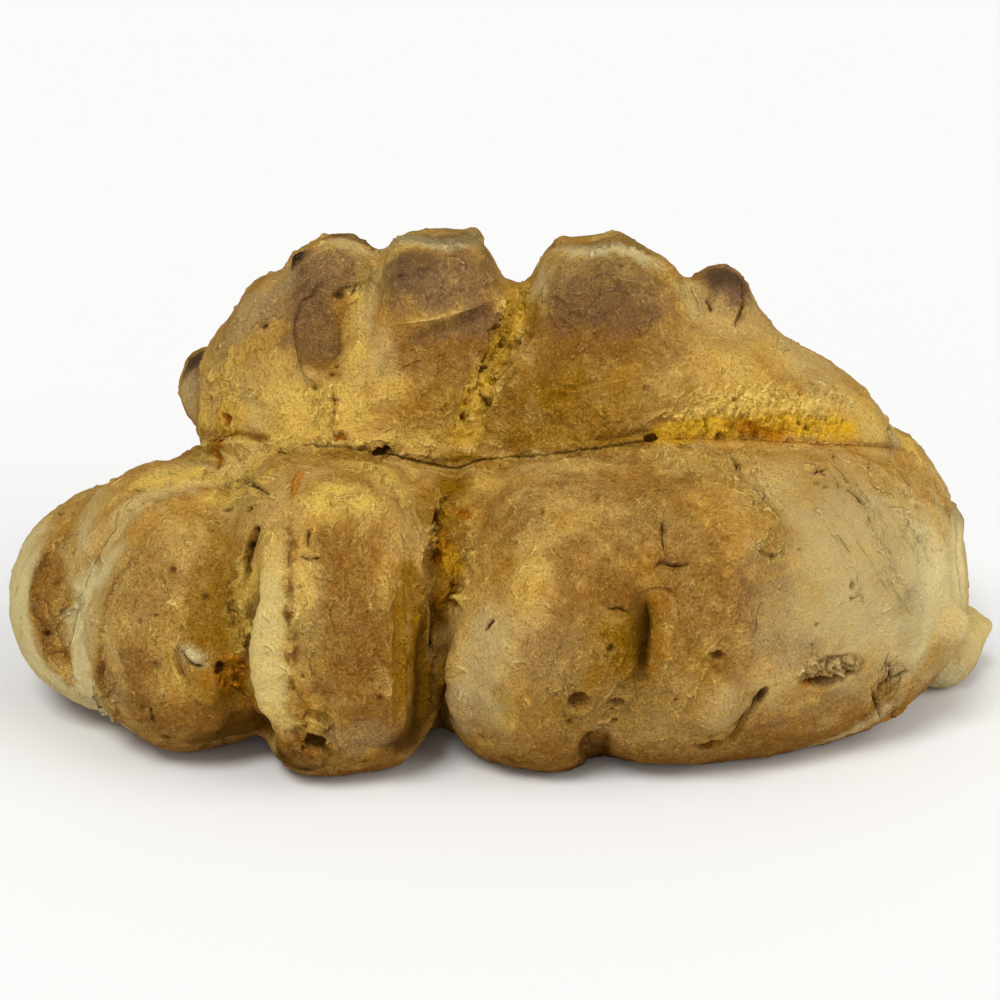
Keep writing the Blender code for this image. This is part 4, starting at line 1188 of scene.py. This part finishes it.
class Wiring:
    """A material's node tree, and short ways to add nodes to it."""

    def __init__(self, name: str) -> None:
        """Starts a material.

        Args:
            name: The material's name.
        """
        self.made = bpy.data.materials.new(name)
        self.made.use_nodes = True
        self.tree = self.made.node_tree
        self.shader = self.tree.nodes["Principled BSDF"]
        self.where = self.tree.nodes.new("ShaderNodeTexCoord").outputs["Object"]

    def fill(self, socket: Socket, value: Value) -> None:
        """Links a socket, or sets its number or colour.

        Args:
            socket: The socket to fill.
            value: Another node's result, a number or a colour.
        """
        if isinstance(value, Socket):
            self.tree.links.new(value, socket)
        else:
            socket.default_value = (*value, 1.0) if isinstance(value, tuple) else value

    def cloud(self, scale: float, detail: float, rough: float, swirl: float) -> Socket:
        """Fractal noise.

        Args:
            scale: How many lumps a metre.
            detail: How many finer layers lie over them.
            rough: How strong the finer layers are.
            swirl: How far the pattern is bent.

        Returns:
            The noise, about 0.5 on the mean.
        """
        node = self.tree.nodes.new("ShaderNodeTexNoise")
        for name, value in (("Scale", scale), ("Detail", detail), ("Roughness", rough), ("Distortion", swirl)):
            node.inputs[name].default_value = value
        self.fill(node.inputs["Vector"], self.where)
        return node.outputs["Fac"]

    def sums(self, kind: str, one: Value, other: Value, clamp: bool = False) -> Socket:
        """One step of arithmetic.

        Args:
            kind: Blender's name for it.
            one: The first socket or number.
            other: The second one.
            clamp: Whether the result is kept between 0 and 1.

        Returns:
            The result.
        """
        node = self.tree.nodes.new("ShaderNodeMath")
        node.operation = kind
        node.use_clamp = clamp
        self.fill(node.inputs[0], one)
        self.fill(node.inputs[1], other)
        return node.outputs[0]

    def plus(self, one: Value, other: Value, clamp: bool = False) -> Socket:
        """The sum of two values."""
        return self.sums("ADD", one, other, clamp)

    def minus(self, one: Value, other: Value, clamp: bool = False) -> Socket:
        """The first value less the second."""
        return self.sums("SUBTRACT", one, other, clamp)

    def times(self, one: Value, other: Value) -> Socket:
        """The product of two values."""
        return self.sums("MULTIPLY", one, other)

    def apart(self, value: Value, middle: float) -> Socket:
        """How far a value is from the middle."""
        return self.sums("ABSOLUTE", self.minus(value, middle), 0.0)

    def between(self, value: Socket, low: float, high: float) -> Socket:
        """Rises smoothly from 0 to 1, or falls where high is the smaller one.

        Args:
            value: What decides.
            low: Where the result is 0.
            high: Where it is 1.

        Returns:
            The share between 0 and 1.
        """
        node = self.tree.nodes.new("ShaderNodeMapRange")
        node.interpolation_type = "SMOOTHSTEP"
        for name, part in (("Value", value), ("From Min", low), ("From Max", high)):
            self.fill(node.inputs[name], part)
        return node.outputs["Result"]

    def dots(self, scale: float, size: float, share: float) -> Socket:
        """Round dots.

        Args:
            scale: How many cells a metre.
            size: A dot's radius as a share of a cell.
            share: How many of the cells hold one.

        Returns:
            1 on a dot and 0 beside it.
        """
        node = self.tree.nodes.new("ShaderNodeTexVoronoi")
        node.inputs["Scale"].default_value = scale
        self.fill(node.inputs["Vector"], self.where)
        chance = self.tree.nodes.new("ShaderNodeSeparateColor")
        self.fill(chance.inputs["Color"], node.outputs["Color"])
        chosen = self.sums("LESS_THAN", chance.outputs[0], share)
        return self.times(self.between(node.outputs["Distance"], size, size * 0.4), chosen)

    def blend(self, share: Value, under: Value, over: Value, kind: str = "MIX") -> Socket:
        """Lays one colour over another.

        Args:
            share: How much of it.
            under: The lower colour.
            over: The upper colour.
            kind: Blender's name for the way they mix.

        Returns:
            The colour.
        """
        node = self.tree.nodes.new("ShaderNodeMix")
        node.data_type = "RGBA"
        node.blend_type = kind
        for name, value in (("Factor", share), ("A", under), ("B", over)):
            self.fill(next(one for one in node.inputs if one.name == name and one.enabled), value)
        return next(one for one in node.outputs if one.enabled)

    def kept(self, name: str) -> Socket:
        """A value that the skin kept at each place.

        Args:
            name: The attribute's name on the mesh.

        Returns:
            The value.
        """
        node = self.tree.nodes.new("ShaderNodeAttribute")
        node.attribute_name = name
        return node.outputs["Fac"]

    def ragged(self, tone: Tone, cloudy: Socket, reach: float) -> Socket:
        """A tone whose edge is broken up by noise.

        Args:
            tone: The tone.
            cloudy: The noise.
            reach: How far it moves the edge.

        Returns:
            The tone's share between 0 and 1.
        """
        share = self.kept(tone.value)
        present = self.sums("MINIMUM", self.times(share, 4.0), 1.0)
        moved = self.times(self.minus(cloudy, 0.5), reach)
        return self.plus(share, self.times(moved, present), clamp=True)


@dataclass(frozen=True)
class CrustFinish:
    """The baked crust: its colours, painted shade and highlights, and the size and depth of its fine grain.

    Each cloud is lumps a metre, detail, roughness and swirl. Each layer is a tone and how ragged its
    edge is, and is painted in the colour of the same name.
    """

    golden: Colour = (0.5, 0.302, 0.083)
    honey: Colour = (0.428, 0.219, 0.039)
    toast: Colour = (0.241, 0.103, 0.0155)
    mauve: Colour = (0.218, 0.117, 0.048)
    flour: Colour = (0.525, 0.424, 0.192)
    gold: Colour = (0.72, 0.47, 0.092)
    crumb: Colour = (0.68, 0.375, 0.014)
    # Dark crumb colour, also painted shade in gaps, creases, pits and under the lobes.
    deep: Colour = (0.26, 0.116, 0.003)
    amber: Colour = (0.42, 0.15, 0.005)
    char: Colour = (0.03, 0.018, 0.012)
    shade: Colour = (0.06, 0.024, 0.002)
    # Painted highlight on crests, tiny bumps and raised edges, and the pale semolina specks.
    highlight_and_speck: Colour = (1.65, 1.78, 2.5)
    # Painted shade in the grain's hollows and below raised edges.
    hollow: Colour = (0.5, 0.43, 0.2)
    roughness: float = 0.88
    shine: float = 0.015
    grain_depth: float = 0.0011
    semolina: tuple[float, float, float] = (560.0, 0.28, 0.45)
    broad: Cloud = (45.0, 3.0, 0.6, 0.0)
    middle: Cloud = (190.0, 5.0, 0.65, 0.6)
    folds: Cloud = (420.0, 2.0, 0.55, 1.2)
    fine: Cloud = (900.0, 3.0, 0.7, 0.0)
    grit: Cloud = (2200.0, 2.0, 0.6, 0.0)
    strands: Cloud = (760.0, 1.0, 0.5, 1.6)
    breaks: Cloud = (260.0, 2.0, 0.5, 0.0)
    layers: tuple[tuple[Tone, float], ...] = (
        (GOLD, 1.0), (DEEP, 1.1), (TOAST, 1.2), (MAUVE, 1.1), (CRUMB, 1.2), (FLOUR, 0.7), (AMBER, 1.2),
    )
    burns: tuple[tuple[Tone, float], ...] = ((CHAR, 1.0), (SHADE, 0.6))

    def material(self) -> bpy.types.Material:
        """Builds the node material, which reads the tones that the skin was given.

        Returns:
            The material.
        """
        w = Wiring("baked_crust")
        w.shader.inputs["Roughness"].default_value = self.roughness
        w.shader.inputs["Specular IOR Level"].default_value = self.shine
        middle, fine, folds, grit = (w.cloud(*one) for one in (self.middle, self.fine, self.folds, self.grit))
        crests = w.times(w.minus(1.0, w.times(w.apart(folds, 0.5), 9.0), True), w.between(fine, 0.4, 0.6))
        strand = w.minus(1.0, w.times(w.apart(w.cloud(*self.strands), 0.5), 8.0), True)
        strand = w.times(strand, w.between(folds, 0.48, 0.62))
        toasted, bloomed, deep = (w.kept(tone.value) for tone in (TOAST, MAUVE, DEEP))
        # TOAST, MAUVE and DEEP together: browning, and painted shade where DEEP and the low TOAST carry it.
        browned_and_shaded = w.sums("MAXIMUM", w.sums("MAXIMUM", toasted, bloomed), deep)
        crests = w.times(w.sums("MAXIMUM", crests, strand), w.plus(0.45, w.times(browned_and_shaded, 0.55)))
        semolina = w.dots(*self.semolina)
        coarse = w.minus(1.0, w.times(w.kept(FLOUR.value), 0.6))
        hair, edge, below = self.lines(w, fine)

        colour = w.blend(w.between(w.cloud(*self.broad), 0.38, 0.64), self.golden, self.honey)
        colour = w.blend(w.times(w.between(middle, 0.5, 0.7), 0.25), colour, self.toast)
        colour = w.blend(w.times(w.between(middle, 0.5, 0.3), 0.4), colour, self.gold)
        for tone, reach in self.layers:
            colour = w.blend(w.ragged(tone, middle, reach), colour, getattr(self, tone.value))
        # Painted highlights on crests, tiny bumps and raised edges, pale semolina specks, and painted shade in
        # the grain's hollows and below raised edges.
        for share, tint in (
            (w.times(w.between(crests, 0.3, 0.9), 0.6), self.highlight_and_speck),
            (w.times(semolina, w.plus(0.3, w.times(browned_and_shaded, 0.7))), self.highlight_and_speck),
            (w.times(w.between(grit, 0.5, 0.36), w.times(coarse, 0.3)), self.hollow),
            (w.times(w.between(grit, 0.5, 0.64), 0.15), self.highlight_and_speck),
            (w.times(w.between(fine, 0.5, 0.34), w.times(coarse, 0.75)), self.hollow),
            (w.times(edge, 0.5), self.highlight_and_speck),
            (w.times(below, 0.4), self.hollow),
        ):
            colour = w.blend(share, colour, tint, "MULTIPLY")
        # Burnt crust, then painted shade in cracks, pits, gaps and under the lobes.
        for tone, reach in self.burns:
            colour = w.blend(w.ragged(tone, fine, reach), colour, getattr(self, tone.value))
        # Painted shade in the hairline cracks.
        w.fill(w.shader.inputs["Base Color"], w.blend(w.times(hair, 0.9), colour, self.shade))

        relief = w.plus(w.times(middle, 1.2), fine)
        for part, share in ((grit, 0.15), (crests, 0.3), (semolina, 0.2)):
            relief = w.plus(relief, w.times(part, share))
        relief = w.plus(w.times(relief, coarse), w.times(edge, 0.35))
        relief = w.minus(relief, w.times(w.plus(hair, w.times(below, 0.3)), 0.5))
        bump = w.tree.nodes.new("ShaderNodeBump")
        bump.inputs["Strength"].default_value = 1.0
        bump.inputs["Distance"].default_value = self.grain_depth
        w.fill(bump.inputs["Height"], relief)
        w.fill(w.shader.inputs["Normal"], bump.outputs["Normal"])
        return w.made

    def lines(self, w: Wiring, fine: Socket) -> tuple[Socket, Socket, Socket]:
        """Where thin lines run, from the distances that the skin kept.

        Args:
            w: The material's nodes.
            fine: The noise that makes them uneven.

        Returns:
            Dark hairlines of painted shade, painted highlights on the edges beside them and painted shade in
            the hollows below these.
        """
        side = w.plus(w.kept("line_side"), w.times(w.minus(fine, 0.5), 1.4))
        broken = w.between(w.cloud(*self.breaks), 0.4, 0.56)
        gate = w.times(w.between(w.kept("line_near"), 1.5, 0.8), w.plus(0.25, w.times(broken, 0.75)))
        dark = w.kept("line_dark")
        hair = w.times(w.times(w.between(w.apart(side, 0.0), 0.42, 0.12), gate), dark)
        edge = w.times(w.between(w.apart(side, 0.4), 0.45, 0.1), gate)
        edge = w.times(edge, w.minus(1.0, w.times(dark, 0.6)))
        return hair, edge, w.times(w.between(w.apart(side, -0.5), 0.5, 0.1), gate)


@dataclass
class LoafCrust:
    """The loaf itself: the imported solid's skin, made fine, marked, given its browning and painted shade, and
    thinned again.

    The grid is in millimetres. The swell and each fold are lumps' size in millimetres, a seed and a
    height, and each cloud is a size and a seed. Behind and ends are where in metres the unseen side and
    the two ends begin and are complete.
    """

    grid: float = 0.75
    softening: int = 8
    smoother: int = 120
    triangles: int = 196000
    seed: int = 11
    swell: tuple[float, float, float] = (15.0, 1.0, 0.9)
    folds: tuple[tuple[float, float, float], ...] = ((7.5, 2.0, 0.28), (3.4, 3.0, 0.16))
    levels: int = 20
    behind: tuple[float, float] = (0.01, 0.05)
    ends: tuple[float, float] = (0.11, 0.16)
    clouds: tuple[tuple[float, float], ...] = ((26.0, 3.0), (11.0, 5.0))
    finish: CrustFinish = field(default_factory=CrustFinish)

    def build(self) -> bpy.types.Object:
        """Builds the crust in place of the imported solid.

        Returns:
            The finished piece.
        """
        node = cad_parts["loaf"]
        piece = bpy.data.objects.new("loaf_crust", node.data.copy())
        piece.matrix_world = node.matrix_world.copy()
        bpy.context.scene.collection.objects.link(piece)
        self.settle(piece)
        self.refine(piece)
        skin = Skin(piece.data)
        self.brown(skin, self.bulge(piece, skin))
        washes = [replace(mark, tone=tone) for tone, group in WASHES.items() for mark in group]
        for mark in (*washes, *MARKS):
            LOG.debug("%s: %s", mark.name, mark.profile.value)
            mark.work(skin)
        draw = random.Random(self.seed)
        for many in (*BRUSHED, *STREWN):
            LOG.debug("%s: %d times %s", many.name, many.count, many.profile.value)
            many.scatter(skin, draw)
        self.mark(piece, skin)
        self.thin(piece, skin)
        piece.data.materials.clear()
        piece.data.materials.append(self.finish.material())
        piece.data.shade_smooth()
        return piece

    def settle(self, piece: bpy.types.Object) -> None:
        """Puts the mesh itself in the row frame, in metres, and joins its facets.

        Args:
            piece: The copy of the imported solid.
        """
        piece.data.transform(piece.matrix_world)
        piece.matrix_world.identity()
        whole = bmesh.new()
        whole.from_mesh(piece.data)
        bmesh.ops.remove_doubles(whole, verts=whole.verts, dist=0.01 * MM)
        whole.to_mesh(piece.data)
        whole.free()

    def modified(self, piece: bpy.types.Object) -> bpy.types.Mesh:
        """Makes a new mesh with the piece's modifiers, and takes them off the piece.

        Args:
            piece: The piece with its modifiers.

        Returns:
            The new mesh.
        """
        graph = bpy.context.evaluated_depsgraph_get()
        mesh = bpy.data.meshes.new_from_object(piece.evaluated_get(graph))
        piece.modifiers.clear()
        return mesh

    def smooth(self, piece: bpy.types.Object, rounds: int) -> None:
        """Adds a smoothing of this many rounds to the piece's modifiers."""
        modifier = piece.modifiers.new("smooth", "SMOOTH")
        modifier.factor, modifier.iterations = 0.5, rounds

    def refine(self, piece: bpy.types.Object) -> None:
        """Turns the faceted solid into a fine even skin.

        Args:
            piece: The joined mesh.
        """
        rounding = piece.modifiers.new("rounding", "SUBSURF")
        rounding.levels = rounding.render_levels = 1
        remesh = piece.modifiers.new("fine", "REMESH")
        remesh.mode = "VOXEL"
        remesh.voxel_size = self.grid * MM
        self.smooth(piece, self.softening)
        piece.data = self.modified(piece)

    def bulge(self, piece: bpy.types.Object, skin: Skin) -> np.ndarray:
        """How far the skin stands out from a much smoother loaf.

        Args:
            piece: The fine mesh.
            skin: Its points and directions.

        Returns:
            Heights in millimetres, below zero in valleys.
        """
        self.smooth(piece, self.smoother)
        mesh = self.modified(piece)
        gap = skin.points - read_mesh(mesh)
        bpy.data.meshes.remove(mesh)
        return (gap * skin.normals).sum(axis=1) / MM

    def brown(self, skin: Skin, bulge: np.ndarray) -> None:
        """Lays the oven's browning and the hearth's flour over the whole loaf, with painted shade in its
        valleys and on the front's downward-facing skin.

        Args:
            skin: The surface, whose tones change.
            bulge: How far each point stands out.
        """
        up = skin.normals[:, 2]
        height = skin.points[:, 2] / MM
        back = smooth_step(skin.points[:, 1], *self.behind)
        ends = smooth_step(np.abs(skin.points[:, 0]), *self.ends)
        cloudy, patchy = (unevenness(skin.points, *cloud) for cloud in self.clouds)
        valley = smooth_step(-bulge + 0.2 * patchy, 0.2, 1.2)
        aside = smooth_step(np.abs(skin.normals[:, 0]) + 0.3 * patchy, 0.5, 1.0)
        # The front's downward-facing skin, darkened by browning and painted shade.
        low = smooth_step(-up, 0.05, 0.6) * (1 - back)
        sole = smooth_step(-up, 0.9, 0.99) * smooth_step(-height, -4, -1)
        for tone, amount in (
            (GOLD, valley * 0.55),
            # Painted shade in the valleys.
            (DEEP, valley * 0.3),
            (TOAST, smooth_step(bulge + 0.2 * patchy, 0.3, 1.4) * 0.3),
            (TOAST, back * smooth_step(up + 0.5 * cloudy, 0.0, 0.9) * 0.5),
            (MAUVE, back * smooth_step(height + 18 * cloudy, 130, 165) * 0.8),
            (FLOUR, back * smooth_step(-up + 0.3 * cloudy, -0.1, 0.5) * 0.6),
            (FLOUR, aside * ends * 0.6),
            # Browning and painted shade on the front's downward-facing skin.
            (TOAST, low * (0.7 + 0.3 * cloudy)),
            (TOAST, sole * 0.6),
            (FLOUR, sole * 0.5),
        ):
            skin.paint(tone, slice(None), amount)

    def mark(self, piece: bpy.types.Object, skin: Skin) -> None:
        """Moves the mesh as the marks say, with the crust's own unevenness, and stores the tones.

        Args:
            piece: The fine mesh.
            skin: Its surface, with all marks worked in.
        """
        size, seed, height = self.swell
        uneven = unevenness(skin.points, size, seed) * height
        for size, seed, height in self.folds:
            uneven += wrinkles(skin.points, size, seed) * height
        moved = skin.points + skin.push + skin.normals * (uneven * MM)[:, None]
        moved[:, 2] = np.maximum(moved[:, 2], 0.0)
        resting = skin.points[:, 2] < 0.2 * MM
        moved[resting] = skin.points[resting]
        piece.data.vertices.foreach_set("co", moved.ravel())
        for name, values in ({tone.value: skin.tones[tone] for tone in Tone} | skin.lines).items():
            attribute = piece.data.attributes.new(name, "FLOAT", "POINT")
            attribute.data.foreach_set("value", values)
        piece.data.update()

    def thin(self, piece: bpy.types.Object, skin: Skin) -> None:
        """Thins the mesh, least on the mouth side, whose relief is the finest.

        Args:
            piece: The marked mesh.
            skin: Its surface before it was marked.
        """
        group = piece.vertex_groups.new(name="coarse")
        coarse = 1.0 - 0.6 * smooth_step(skin.normals @ np.array(FRONT.back()), -0.2, 0.25)
        coarse[skin.points[:, 2] < 1 * MM] = 1.0
        level = np.round(coarse * self.levels).astype(int)
        for one in np.unique(level):
            group.add(np.nonzero(level == one)[0].tolist(), float(one) / self.levels, "REPLACE")
        piece.data.calc_loop_triangles()
        thin = piece.modifiers.new("thin", "DECIMATE")
        thin.ratio = min(1.0, self.triangles / len(piece.data.loop_triangles))
        thin.vertex_group = "coarse"
        thin.vertex_group_factor = 0.0002
        piece.data = self.modified(piece)
        piece.vertex_groups.clear()


@dataclass(frozen=True)
class Sun:
    """One broad far light. Angles are in degrees, and the azimuth is 0 in front of the loaf."""

    name: str
    azimuth: float
    elevation: float
    spread: float
    strength: float

    def shine(self) -> None:
        """Puts the light in place."""
        lamp = bpy.data.lights.new(self.name, "SUN")
        lamp.energy, lamp.angle = self.strength, math.radians(self.spread)
        Lookout(self.azimuth, self.elevation, 2.0, aim=(0.0, 0.0, 0.0)).place(self.name, lamp)


@dataclass
class Studio:
    """The plain pale floor, soft light and camera."""

    floor_colour: Colour = (0.8, 0.8, 0.79)
    floor_roughness: float = 0.9
    floor_size: float = 60.0
    surround: float = 0.4
    sensor: float = 36.0
    width: float = 1000.0
    suns: tuple[Sun, ...] = (
        Sun("key", -22.0, 52.0, 25.0, 2.13),
        Sun("fill", 62.0, 34.0, 50.0, 1.4),
        Sun("front", -5.0, 8.0, 60.0, 0.6),
    )

    def build(self) -> None:
        """Sets up floor, world, lights and camera."""
        self.floor()
        self.light()
        self.camera()

    def floor(self) -> None:
        """A plain pale floor under the loaf."""
        bpy.ops.mesh.primitive_plane_add(size=self.floor_size, location=(0, 0, -0.0002))
        floor = bpy.context.object
        floor.name = "floor"
        paint = bpy.data.materials.new("pale_floor")
        paint.use_nodes = True
        shader = paint.node_tree.nodes["Principled BSDF"]
        shader.inputs["Base Color"].default_value = (*self.floor_colour, 1.0)
        shader.inputs["Roughness"].default_value = self.floor_roughness
        floor.data.materials.append(paint)

    def light(self) -> None:
        """A soft key from above and the left, weaker ones from the right and in front, a pale surround."""
        scene = bpy.context.scene
        scene.view_settings.view_transform = "Standard"
        world = bpy.data.worlds.new("surround")
        world.use_nodes = True
        shine = world.node_tree.nodes["Background"]
        shine.inputs["Color"].default_value = (1.0, 1.0, 1.0, 1.0)
        shine.inputs["Strength"].default_value = self.surround
        scene.world = world
        for sun in self.suns:
            sun.shine()

    def camera(self) -> None:
        """The camera at the photograph's viewing angle."""
        camera = bpy.data.cameras.new("camera")
        camera.sensor_width = self.sensor
        camera.lens = self.sensor * FRONT.focal / self.width
        bpy.context.scene.camera = FRONT.place("camera", camera)


def main() -> None:
    """Builds the dressed loaf and its studio."""
    logging.basicConfig(level=logging.INFO, format="%(message)s")
    crust = LoafCrust().build()
    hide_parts("loaf")
    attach(crust, "root")
    LOG.info("%s: %d faces", crust.name, len(crust.data.polygons))
    Studio().build()


if __name__ == "__main__":
    main()
